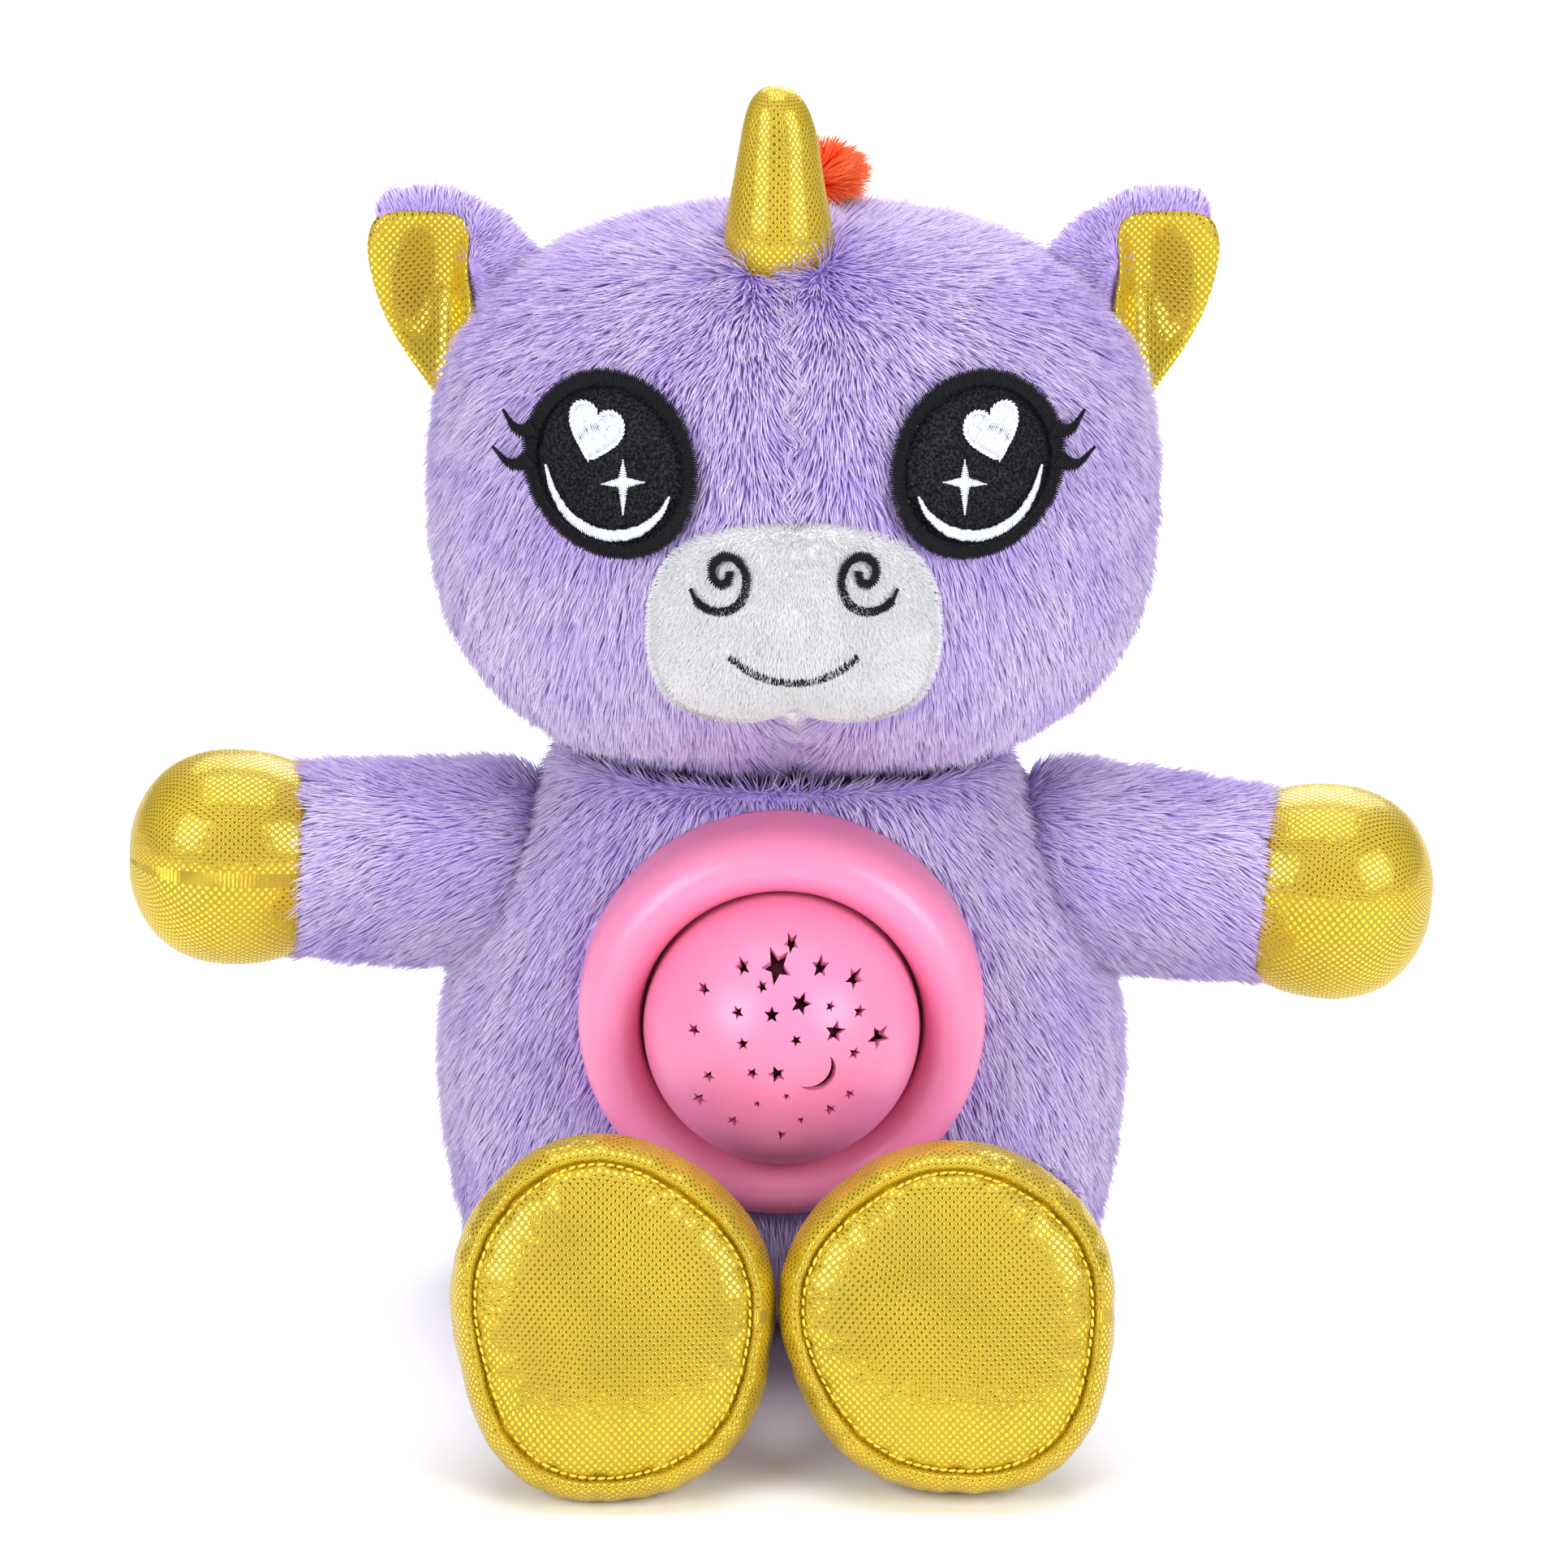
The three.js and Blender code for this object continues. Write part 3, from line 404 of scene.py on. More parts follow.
# %% Rings, skins and pieces
def make_piece(name, points, faces, material, uv=None):
    """A smooth mesh object from points in millimetres; uv is one pair for each point."""
    mesh = bpy.data.meshes.new(name)
    mesh.from_pydata(row(points).tolist(), [], [tuple(int(i) for i in face) for face in faces])
    mesh.polygons.foreach_set("use_smooth", [True] * len(mesh.polygons))
    mesh.materials.append(material)
    if uv is not None:
        layer = mesh.uv_layers.new(name="weave")
        corners = np.empty(len(mesh.loops), int)
        mesh.loops.foreach_get("vertex_index", corners)
        layer.data.foreach_set("uv", np.asarray(uv, float)[corners].ravel())
    piece = bpy.data.objects.new(name, mesh)
    bpy.context.scene.collection.objects.link(piece)
    return piece


def curve_through(keys, steps):
    """A smooth curve through rows of numbers, with the given number of points on each span."""
    keys = np.asarray(keys, float)
    ends = np.vstack([2 * keys[0] - keys[1], keys, 2 * keys[-1] - keys[-2]])
    points = []
    for k in range(len(keys) - 1):
        a, b, c, d = ends[k:k + 4]
        for t in np.arange(steps) / steps:
            points.append(0.5 * (2 * b + (c - a) * t + (2 * a - 5 * b + 4 * c - d) * t ** 2
                                 + (3 * b - a - 3 * c + d) * t ** 3))
    return np.array(points + [keys[-1]])


def across(axis):
    """Two directions across an axis: sideways, and as near to upright as the axis allows."""
    axis = unit(axis)
    helper = np.array([0.0, 1.0, 0.0]) if abs(axis[2]) > 0.9 else np.array([0.0, 0.0, 1.0])
    side = unit(np.cross(axis, helper))
    return side, np.cross(side, axis)


def tube_rings(start, axis, sections, sides, power=2.0):
    """Rings [sections x sides x 3] across a straight axis, from rows of distance, width and height."""
    side, up = across(axis)
    angle = np.arange(sides) * 2 * np.pi / sides
    wide = np.sign(np.cos(angle)) * np.abs(np.cos(angle)) ** (2 / power)
    tall = np.sign(np.sin(angle)) * np.abs(np.sin(angle)) ** (2 / power)
    rings = []
    for distance, half_width, half_height in sections:
        middle = np.asarray(start) + unit(axis) * distance
        rings.append(middle + np.outer(wide * half_width, side) + np.outer(tall * half_height, up))
    return np.array(rings)


def skin_faces(count, sides):
    """Quads between rings and a fan at each end, for rings followed by their two end points."""
    faces = []
    for r in range(count - 1):
        for k in range(sides):
            a, b = r * sides + k, r * sides + (k + 1) % sides
            faces.append((a, b, b + sides, a + sides))
    first, last = count * sides, count * sides + 1
    for k in range(sides):
        a, b = k, (k + 1) % sides
        faces.append((first, b, a))
        faces.append((last, (count - 1) * sides + a, (count - 1) * sides + b))
    return faces


def skin_over(name, rings, material):
    """A closed skin over rings, turned to face outwards, with a UV map in millimetres."""
    rings = np.asarray(rings)
    count, sides = rings.shape[:2]
    ends = np.array([rings[0].mean(0), rings[-1].mean(0)])
    points = np.vstack([rings.reshape(-1, 3), ends])
    around = np.linalg.norm(rings - np.roll(rings, -1, 1), axis=2).sum(1).max()
    steps = np.linalg.norm(rings[1:] - rings[:-1], axis=2).mean(1)
    along = np.concatenate([[0], np.cumsum(steps)])
    turn = np.arange(sides) / sides
    turn = np.minimum(turn, 1 - turn) * 2             # out and back again, so the map has no jump
    uv = [(turn[k] * around / 2 * (1 if k < sides / 2 else -1), along[r]) for r in range(count)
          for k in range(sides)]
    uv += [(0, along[0]), (0, along[-1])]
    piece = make_piece(name, points, skin_faces(count, sides), material, uv)
    return facing_out(piece)


def facing_out(piece):
    """Turns every face of a closed piece outwards."""
    mesh = bmesh.new()
    mesh.from_mesh(piece.data)
    bmesh.ops.recalc_face_normals(mesh, faces=mesh.faces)
    mesh.to_mesh(piece.data)
    mesh.free()
    return piece


def places(piece):
    """A piece's points in millimetres from the toy's middle."""
    flat = np.empty(len(piece.data.vertices) * 3)
    piece.data.vertices.foreach_get("co", flat)
    return flat.reshape(-1, 3) / MM - MIDDLE


def move_places(piece, points):
    """Puts a piece's points at new places in millimetres."""
    piece.data.vertices.foreach_set("co", row(points).ravel())
    piece.data.update()


def groom(piece, comb, coat, zone=0, trim=1):
    """Writes the attributes that the fur brush reads."""
    count = len(piece.data.vertices)
    normals = np.empty(count * 3)
    piece.data.vertices.foreach_get("normal", normals)
    normals = normals.reshape(-1, 3)
    comb = np.broadcast_to(comb, (count, 3))
    flat = comb - (comb * normals).sum(1, keepdims=True) * normals
    stroke = unit(flat) * np.minimum(1, np.linalg.norm(flat, axis=1, keepdims=True) * 3)
    piece.data.attributes.new("comb", "FLOAT_VECTOR", "POINT").data.foreach_set("vector", stroke.ravel())
    for name, values in (("coat", coat), ("zone", zone), ("trim", trim)):
        spread = np.broadcast_to(np.asarray(values, float), (count,))
        piece.data.attributes.new(name, "FLOAT", "POINT").data.foreach_set("value", spread.copy())


def belongs(piece, body, replaced=()):
    """Hangs a piece on the body that carries it, and hides the solids that it stands for."""
    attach(piece, body)
    if replaced:
        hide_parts(*replaced)
    return piece


# %% [markdown]
# ## The head
#
# The head is a wide stuffed ball, squarer than a real ball from the front, with a soft snout. One
# formula gives the distance from its middle to its cloth in any direction, so the cloth, the patches
# and every stitch on the face can be laid on the same surface. The ball starts as an icosphere, whose
# faces are all about the same size, so the fur grows evenly. The seam under the muzzle pulls a groove
# into the chin. The cloth lies a few millimetres under the solid, and the fur fills the rest.

# %% The head's surface
SNOUT_WAY = unit([0, -1, -0.15])
PILE_DEPTH = 2.6                     # how far the cloth lies under the tips of its fur


def head_reach(way):
    """Millimetres from the head's middle to its surface, along unit directions."""
    power = np.where(way[..., 2] > 0, 2.5, 2.6)
    front = (np.abs(way[..., 0] / HEAD_WIDE) ** power
             + np.abs(way[..., 2] / HEAD_TALL) ** power) ** (2 / power)
    ball = 1 / np.sqrt(front + (way[..., 1] / HEAD_DEEP) ** 2)
    angle = np.arccos(np.clip(way @ SNOUT_WAY, -1, 1))
    return ball + 13 * hump(angle, 0.44)


def on_face(x, z, lift=0.0):
    """Points on the head's front, x and z millimetres from its middle, lifted off its surface."""
    x, z = np.broadcast_arrays(np.asarray(x, float), np.asarray(z, float))
    near, far = np.full(x.shape, -95.0), np.zeros(x.shape)
    for _ in range(28):
        y = (near + far) / 2
        spot = np.stack([x, y, z], -1)
        outside = np.linalg.norm(spot, axis=-1) > head_reach(unit(spot)) + lift
        near, far = np.where(outside, y, near), np.where(outside, far, y)
    return np.stack([x, (near + far) / 2, z], -1) + HEAD


def out_of_face(points):
    """The head's outward direction at points on its front, by small steps along its surface."""
    rel = points - HEAD
    step = 0.6
    right = on_face(rel[..., 0] + step, rel[..., 2]) - on_face(rel[..., 0] - step, rel[..., 2])
    up = on_face(rel[..., 0], rel[..., 2] + step) - on_face(rel[..., 0], rel[..., 2] - step)
    return unit(np.cross(right, up))


# %% Head cloth
def chin_seam(x, z, y):
    """How strongly a point belongs to the seam under the muzzle, from 0 to 1."""
    below = np.clip((-28 - z) / 6, 0, 1) * np.clip((y + 8) / -12, 0, 1)
    return hump(x, 3.2) * below


ball = bmesh.new()
bmesh.ops.create_icosphere(ball, subdivisions=5, radius=1)
ways = unit([v.co[:] for v in ball.verts])
ball_faces = [[v.index for v in face.verts] for face in ball.faces]
ball.free()
reach = head_reach(ways) - PILE_DEPTH
head_points = ways * reach[:, None]
seam = chin_seam(head_points[:, 0], head_points[:, 2], head_points[:, 1])
head_points = head_points - ways * (seam * 3.0)[:, None] + HEAD
head_cloth = facing_out(make_piece("head_cloth", head_points, ball_faces, lavender_backing))

# %% Head fur
HORN = np.array([-3.0, -18.0, 58.0])              # where the horn stands, from the head's middle
EYE = np.array([37.5, 18.9])                      # an eye patch, sideways and up from the middle
EYE_ROUND = 16.7
rel = head_points - HEAD
from_horn = unit(rel - HORN)
comb = from_horn + np.array([0, 0, -0.55])
comb[:, 0] += -np.sign(rel[:, 0]) * 0.75 * hump(rel[:, 0], 9) * (rel[:, 1] < 0) * (rel[:, 2] > 8)
comb[:, 0] += -np.sign(rel[:, 0]) * 2.0 * hump(rel[:, 0], 8) * (rel[:, 2] < -30) * (rel[:, 1] < 0)
front = rel[:, 1] < -8
by_horn = 0.55 * hump(np.hypot(rel[:, 0] - HORN[0], rel[:, 1] - HORN[1]) - 10, 3)[:, None] * (rel[:, 2:] > 30)
comb = comb * (1 - by_horn) + (np.array([0, 0, 1.0]) - 0.5 * from_horn) * by_horn
eye_gap = np.minimum(*(np.hypot(rel[:, 0] - side * EYE[0], rel[:, 2] - EYE[1]) for _, side in LEFT_RIGHT))
muzzle_gap = np.hypot(rel[:, 0] / 29.0, (rel[:, 2] + 11.0) / 21.5)
coat = np.where(front & ((eye_gap < EYE_ROUND - 1.0) | (muzzle_gap < 0.9)), 0.0, 1.0)
horn_gap = np.hypot(rel[:, 0] - HORN[0], rel[:, 1] - HORN[1])
coat *= np.where((horn_gap < 8.5) & (rel[:, 2] > 30), 0.0, 1.0)
coat *= np.where(rel[:, 2] < -57, 0.25, 1.0)
trim = np.ones(len(rel))
trim[front] = np.clip(0.45 + 2.2 * (muzzle_gap[front] - 0.95), 0.45, 1)
trim[front] = np.minimum(trim[front], np.clip(0.5 + 0.10 * (eye_gap[front] - EYE_ROUND), 0.5, 1))
trim += 0.4 * by_horn[:, 0]
zone = np.digitize(np.arctan2(rel[:, 0], -rel[:, 1]), [-1.9, 0.0, 1.9])
groom(head_cloth, comb, coat, zone, trim)
belongs(head_cloth, "head", ["head_skin"])
for k, part in enumerate(("nape_left", "face_left", "face_right", "nape_right")):
    fur = lay_fur(head_cloth, f"head_fur_{part}", lavender_pile, Zone=float(k), Seed=3 + k, Length=6.0)
    belongs(fur, "head")

# %% [markdown]
# ## The body
#
# The body is a pear-shaped bag: rings that are squarer than ellipses, joined into one skin. The lamp,
# the battery box and the head need room in it, and a real maker cuts holes in the cloth for them. Here
# a Boolean cut does the same with three plain cutters, so the bag stays one closed skin. The places
# where nothing grows are worked out afterwards, from each point's distance to its neighbours.

# %% Projector and battery places
ring_low, ring_high = (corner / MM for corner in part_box("bezel_ring"))
RING = np.array([0.0, 0.0, (ring_low.z + ring_high.z) / 2])       # the lamp's axis runs along Y through here
RING_ROUND = (ring_high.z - ring_low.z) / 2
cup_low, cup_high = (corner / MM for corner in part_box("housing_cup"))
CUP_ROUND = (cup_high.z - cup_low.z) / 2
CUP_BACK = cup_high.y - MIDDLE[1]
flap_low, flap_high = (corner / MM - Vector(MIDDLE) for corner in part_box("back_flap"))
box_low, box_high = (corner / MM - Vector(MIDDLE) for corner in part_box("battery_box"))


def cutter(name, points, faces):
    """A hidden helper solid for a Boolean cut."""
    return facing_out(make_piece(name, points, faces, lavender_backing))


def drum(name, radius, y_front, y_back):
    """A drum round the lamp's axis."""
    rings = tube_rings([0, y_front, RING[2]], [0, 1, 0],
                       [(0, radius, radius), (y_back - y_front, radius, radius)], 64)
    return cutter(name, np.vstack([rings.reshape(-1, 3), rings[0].mean(0), rings[1].mean(0)]),
                  skin_faces(2, 64))


def block(name, low, high):
    """A box between two corners."""
    corners = [[(low, high)[i][0], (low, high)[j][1], (low, high)[k][2]]
               for i in (0, 1) for j in (0, 1) for k in (0, 1)]
    sides = [(0, 1, 3, 2), (4, 6, 7, 5), (0, 4, 5, 1), (2, 3, 7, 6), (0, 2, 6, 4), (1, 5, 7, 3)]
    return cutter(name, corners, sides)


def carve(piece, *cutters):
    """Cuts helper solids out of a piece, for good."""
    for tool in cutters:
        cut = piece.modifiers.new("cut", "BOOLEAN")
        cut.operation = "DIFFERENCE"
        cut.solver = "EXACT"
        cut.object = tool
    bpy.context.view_layer.objects.active = piece
    for cut in list(piece.modifiers):
        bpy.ops.object.modifier_apply(modifier=cut.name)
    for tool in cutters:
        bpy.data.objects.remove(tool)
    piece.data.polygons.foreach_set("use_smooth", [True] * len(piece.data.polygons))


# %% Body cloth
BODY_SECTIONS = [[0, 62, 34, 10], [4, 67, 41, 5], [10, 69.5, 46, 2], [18, 71.5, 49.5, 0.5], [32, 74, 51.5, 0],
                 [50, 75.5, 52, 0], [66, 74, 51, 0], [82, 68, 49.5, 0], [96, 62, 47, 0], [110, 55, 43, 0],
                 [121, 48, 38, 0]]
body_rings = []
for z, half_wide, half_deep, y in curve_through(BODY_SECTIONS, 4):
    inside = 1.2 if z < 4 else PILE_DEPTH
    body_rings.append(tube_rings([0, y, z + (0.6 if z == 0 else 0)], [0, 0, 1],
                                 [(0, half_wide - inside, half_deep - inside)], 96, power=2.4)[0])
body_cloth = skin_over("body_cloth", body_rings, lavender_backing)
head_seat = facing_out(make_piece("head_seat", ways * (head_reach(ways) + 2.0)[:, None] + HEAD, ball_faces,
                                  lavender_backing))
carve(body_cloth, head_seat,
      drum("ring_seat", RING_ROUND + 0.6, -90, -45.7),
      drum("cup_pocket", CUP_ROUND + 0.4, -60, CUP_BACK + 0.4),
      block("box_pocket", [box_low.x - 0.4, box_low.y - 0.4, box_low.z - 0.4],
            [box_high.x + 0.4, 80, box_high.z + 0.4]),
      block("flap_seat", [flap_low.x - 2, 50.0, flap_low.z - 3], [flap_high.x + 2, 80, flap_high.z + 3]))

# %% Where the limbs sit
ARM_LIFT = {"left": math.radians(3.5), "right": math.radians(-4.5)}
ARM_FORWARD = math.radians(6)
SHOULDER_WIDE = 62.0
SHOULDER_TALL = 95.0
HIP = np.array([45.0, -32.0, 22.5])
ANKLE = np.array([34.3, -98.0, 31.5])
SOLE_TILT = math.radians(17)
SOLE_WAY = np.array([0, -math.cos(SOLE_TILT), math.sin(SOLE_TILT)])


def arm_line(side, sign):
    """Shoulder and direction of one arm."""
    lift = ARM_LIFT[side]
    way = [sign * math.cos(lift) * math.cos(ARM_FORWARD), -math.sin(ARM_FORWARD), math.sin(lift)]
    return np.array([sign * SHOULDER_WIDE, 0, SHOULDER_TALL]), unit(way)


def leg_line(sign):
    """Hip, ankle and direction of one leg."""
    mirror = np.array([sign, 1, 1])
    return HIP * mirror, ANKLE * mirror, unit((ANKLE - HIP) * mirror)


def off_line(points, start, way):
    """Distance of points from a line, and how far along it they are."""
    rel = points - start
    along = rel @ way
    return np.linalg.norm(rel - np.outer(along, way), axis=1), along


# %% Body fur
def keep_off_floor(fur, clearance=0.3):
    """Presses strands that would hang through the floor flat onto it."""
    points = places(fur)
    points[:, 2] = np.maximum(points[:, 2], clearance)
    move_places(fur, points)


spots = places(body_cloth)
comb = np.array([0.0, 0.0, -1.0]) + np.outer(np.clip(spots[:, 0] / 60, -1, 1), [0.35, 0, 0])
coat = np.ones(len(spots))
coat[(np.hypot(spots[:, 0], spots[:, 2] - RING[2]) < RING_ROUND + 0.7) & (spots[:, 1] < 0)] = 0
coat[(abs(spots[:, 0]) < flap_high.x + 2.1)
     & (spots[:, 2] > flap_low.z - 3.1) & (spots[:, 2] < flap_high.z + 3.1)
     & (spots[:, 1] > 30)] = 0
to_head = spots - HEAD
coat[np.linalg.norm(to_head, axis=1) < head_reach(unit(to_head)) + 2.3] = 0
coat[spots[:, 2] < 1.5] = 0
for side, sign in LEFT_RIGHT:
    shoulder, way = arm_line(side, sign)
    gap, along = off_line(spots, shoulder, way)
    coat[(gap < 17) & (along > -20)] = 0
    hip, ankle, way = leg_line(sign)
    gap, along = off_line(spots, hip, way)
    coat[(gap < 16) & (along > 0)] = 0
zone = (spots[:, 0] > 0) + 2.0 * (spots[:, 1] > 5)
groom(body_cloth, comb, coat, zone)
belongs(body_cloth, "torso", ["torso_skin"])
for k, part in enumerate(("front_left", "front_right", "back_left", "back_right")):
    fur = lay_fur(body_cloth, f"body_fur_{part}", lavender_pile, Zone=float(k), Seed=21 + k)
    keep_off_floor(fur)
    belongs(fur, "torso")

# %% [markdown]
# ## Sleeves and legs
#
# A sleeve is a tube with half a ball at its shoulder, so it can swing without opening a gap. Its pile is
# stroked towards the hand and hangs a little over the foil hoof. The legs are the same tube, lying
# forward under the lamp's ring, and most of them hides behind the feet.


# %% Limb cloth
def limb_sections(sections, steps, inset):
    """Smoothed sections after half a ball that closes the root, all drawn in by the pile's depth."""
    width, height = sections[0][1] - inset, sections[0][2] - inset
    root = [[-math.sin(a) * width, math.cos(a) * width, math.cos(a) * height]
            for a in np.radians([84, 68, 50, 32, 16])]
    tube = curve_through(sections, steps)
    tube[:, 1:] -= inset
    return root + tube.tolist()


SLEEVE_SECTIONS = [[0, 22, 24], [20, 21.5, 23.4], [34, 20.8, 22.6], [41, 20.2, 22.2], [42.5, 19.4, 21.2]]
for side, sign in LEFT_RIGHT:
    shoulder, way = arm_line(side, sign)
    rings = tube_rings(shoulder, way, limb_sections(SLEEVE_SECTIONS, 4, PILE_DEPTH), 48)
    sleeve = skin_over(f"sleeve_cloth_{side}", rings, lavender_backing)
    spots = places(sleeve)
    gap, along = off_line(spots, shoulder, way)
    coat = np.where((along < -6) | (along > 42.4), 0.0, 1.15)
    groom(sleeve, way + np.array([0, 0, -0.4]), coat)
    belongs(sleeve, f"arm_{side}", [f"sleeve_{side}"])
    fur = lay_fur(sleeve, f"sleeve_fur_{side}", lavender_pile, Seed=31 + sign, Length=5.8)
    belongs(fur, f"arm_{side}")

LEG_ROUND = 22.0
RING_KEEP = RING_ROUND + 3.5         # the leg's cloth stays out of this round space under the lamp
for side, sign in LEFT_RIGHT:
    hip, ankle, way = leg_line(sign)
    length = float(np.linalg.norm(ankle - hip))
    sections = [[0, LEG_ROUND, LEG_ROUND], [length * 0.45, 21.3, 21.3],
                [length * 0.8, 23.5, 24], [length, 25.5, 26],
                [length + 3, 22, 22]]
    rings = tube_rings(hip, way, limb_sections(sections, 4, PILE_DEPTH), 48)
    leg = skin_over(f"leg_cloth_{side}", rings, lavender_backing)
    spots = places(leg)
    spots[:, 2] = np.maximum(spots[:, 2], 1.0)
    from_lamp = spots[:, [0, 2]] - RING[[0, 2]]
    gap = np.linalg.norm(from_lamp, axis=1)
    push = np.where((gap < RING_KEEP) & (spots[:, 1] > -66), RING_KEEP / np.maximum(gap, 1), 1.0)
    spots[:, [0, 2]] = RING[[0, 2]] + from_lamp * push[:, None]
    move_places(leg, spots)
    gap, along = off_line(spots, hip, way)
    coat = np.where((along < 0) | (along > length - 1) | (spots[:, 2] < 2), 0.0, 1.0)
    groom(leg, way + np.array([0, 0, -0.2]), coat)
    belongs(leg, f"leg_{side}", [f"leg_cover_{side}"])
    fur = lay_fur(leg, f"leg_fur_{side}", lavender_pile, Seed=41 + sign, Length=4.6, Lift=0.35)
    keep_off_floor(fur)
    belongs(fur, f"leg_{side}")

# %% [markdown]
# ## Foil knit
#
# The gold cloth is a yellow knit with tiny dots of foil printed in slanting rows. A dot is a flat
# mirror, so it shows white where it faces a soft box and almost black where it faces the dark studio,
# while the knit between the dots stays an even yellow. The dots come from a Voronoi texture with no
# randomness, turned by 45 degrees and read in millimetres from the UV map. Each dot is metal and smooth,
# and the knit round it is matt, so colour, metal and roughness all follow the same dot.


# %% Foil material
def foil_material(name, knit, foil, pitch=1.12):
    """Yellow knit with a lattice of foil dots; pitch is the distance between dots in millimetres."""
    material, tree, shader = new_material(name)
    weave = add(tree, "ShaderNodeUVMap", uv_map="weave").outputs["UV"]
    turned = add(tree, "ShaderNodeMapping", {"Vector": weave, "Rotation": (0, 0, math.radians(45)),
                                             "Scale": (1 / pitch, 0.9 / pitch, 1)}).outputs["Vector"]
    cell = add(tree, "ShaderNodeTexVoronoi", {"Vector": turned, "Scale": 1.0, "Randomness": 0.0},
               voronoi_dimensions="2D").outputs["Distance"]
    worn = noise(tree, 1.1, 2).outputs["Fac"]
    edge = add(tree, "ShaderNodeMath", {0: worn, 1: 0.12}, operation="MULTIPLY").outputs["Value"]
    edge = add(tree, "ShaderNodeMath", {0: cell, 1: edge}, operation="ADD").outputs["Value"]
    dot = add(tree, "ShaderNodeMapRange", {"Value": edge, "From Min": 0.34, "From Max": 0.42, "To Min": 1.0,
                                           "To Max": 0.0}).outputs["Result"]
    colour = add(tree, "ShaderNodeMix", data_type="RGBA")
    tree.links.new(dot, colour.inputs["Factor"])
    yarn = ramp(tree, noise(tree, 18, 2).outputs["Fac"], [(0.3, [0.8 * c for c in knit]), (0.7, knit)])
    tree.links.new(yarn, colour.inputs[6])
    colour.inputs[7].default_value = (*foil, 1)
    tree.links.new(colour.outputs[2], shader.inputs["Base Color"])
    tree.links.new(dot, shader.inputs["Metallic"])
    rough = add(tree, "ShaderNodeMapRange", {"Value": dot, "To Min": 0.55, "To Max": 0.16}).outputs["Result"]
    tree.links.new(rough, shader.inputs["Roughness"])
    rib = add(tree, "ShaderNodeMath", {0: dot, 1: worn}, operation="ADD").outputs["Value"]
    bump(tree, shader, rib, 0.35, 0.25)
    return material


gold_foil = foil_material("gold foil knit", (0.44, 0.30, 0.004), (0.86, 0.62, 0.05))


# %% [markdown]
# ## Stuffing the foil pieces
#
# Hooves and soles are tight little pillows. Their cloth is pinned where it is sewn, cut slightly too
# large, and blown up by a cloth simulation, which makes the soft pillow and the puckers that run in
# from the seam. All the pieces are blown up together, in one run of twenty frames, and no point may
# move further than a few millimetres, so the pieces keep the size of their solids.

# %% Cloth simulation
SIM_FRAMES = 20


def pillow(piece, pinned, slack, stiff=0.4):
    """Gives a piece a cloth modifier; pinned is 0 to 1 for each point, slack is its spare cloth."""
    group = piece.vertex_groups.new(name="sewn")
    for index in np.flatnonzero(pinned > 0.01):
        group.add([int(index)], float(pinned[index]), "REPLACE")
    cloth = piece.modifiers.new("stuffing", "CLOTH")
    cloth.settings.quality = 6
    cloth.settings.mass = 0.2
    cloth.settings.use_pressure = True
    cloth.settings.uniform_pressure_force = 4.0
    cloth.settings.shrink_min = -slack
    cloth.settings.tension_stiffness = 25
    cloth.settings.compression_stiffness = 25
    cloth.settings.bending_stiffness = stiff
    cloth.settings.vertex_group_mass = "sewn"
    cloth.settings.effector_weights.gravity = 0


def stuff(pieces, most):
    """Runs the simulation on all pieces at once and keeps each point within most millimetres."""
    before = {piece.name: places(piece) for piece in pieces}
    for frame_number in range(1, SIM_FRAMES + 1):
        bpy.context.scene.frame_set(frame_number)
    depsgraph = bpy.context.evaluated_depsgraph_get()
    for piece in pieces:
        blown = piece.evaluated_get(depsgraph)
        flat = np.empty(len(blown.data.vertices) * 3)
        blown.data.vertices.foreach_get("co", flat)
        moved = flat.reshape(-1, 3) / MM - MIDDLE - before[piece.name]
        size = np.linalg.norm(moved, axis=1, keepdims=True)
        moved *= np.minimum(1, most / np.maximum(size, 1e-6))
        piece.modifiers.remove(piece.modifiers["stuffing"])
        piece.vertex_groups.clear()
        move_places(piece, before[piece.name] + moved)
        finer = piece.modifiers.new("finer", "SUBSURF")
        finer.levels = finer.render_levels = 1
        bpy.context.view_layer.objects.active = piece
        bpy.ops.object.modifier_apply(modifier="finer")
        print(piece.name, "moved up to", float(size.max().round(1)), "mm")
    bpy.context.scene.frame_set(1)


def pucker(turn, count, seed):
    """Uneven gathers round a seam: a wave of about count folds, from -1 to 1."""
    rng = np.random.default_rng(seed)
    shift = rng.uniform(0, 6.28, 3)
    wave = 0.6 * np.sin(count * turn + shift[0] + 0.8 * np.sin(3 * turn + shift[1]))
    return wave + 0.4 * np.sin(round(count * 0.57) * turn + shift[2])


# %% Hooves
HOOF_SECTIONS = [[40, 16.0, 17.5], [42.5, 17.6, 19.2], [46, 19.0, 20.8], [52, 20.3, 22.2], [60, 20.4, 22.4],
                 [67, 18.8, 20.6], [72.5, 15.4, 17.0], [76.5, 10.2, 11.4], [78.6, 4.5, 5.2]]
blown_up = []
for side, sign in LEFT_RIGHT:
    shoulder, way = arm_line(side, sign)
    sections = curve_through(HOOF_SECTIONS, 3)
    rings = tube_rings(shoulder, way, sections, 56, power=2.25)
    hoof = skin_over(f"hoof_{side}", rings, gold_foil)
    spots = places(hoof)
    gap, along = off_line(spots, shoulder, way)
    pillow(hoof, np.where(along < 43, 1.0, 0.0), 0.03)
    belongs(hoof, f"arm_{side}", [f"hoof_cover_{side}"])
    blown_up.append(hoof)

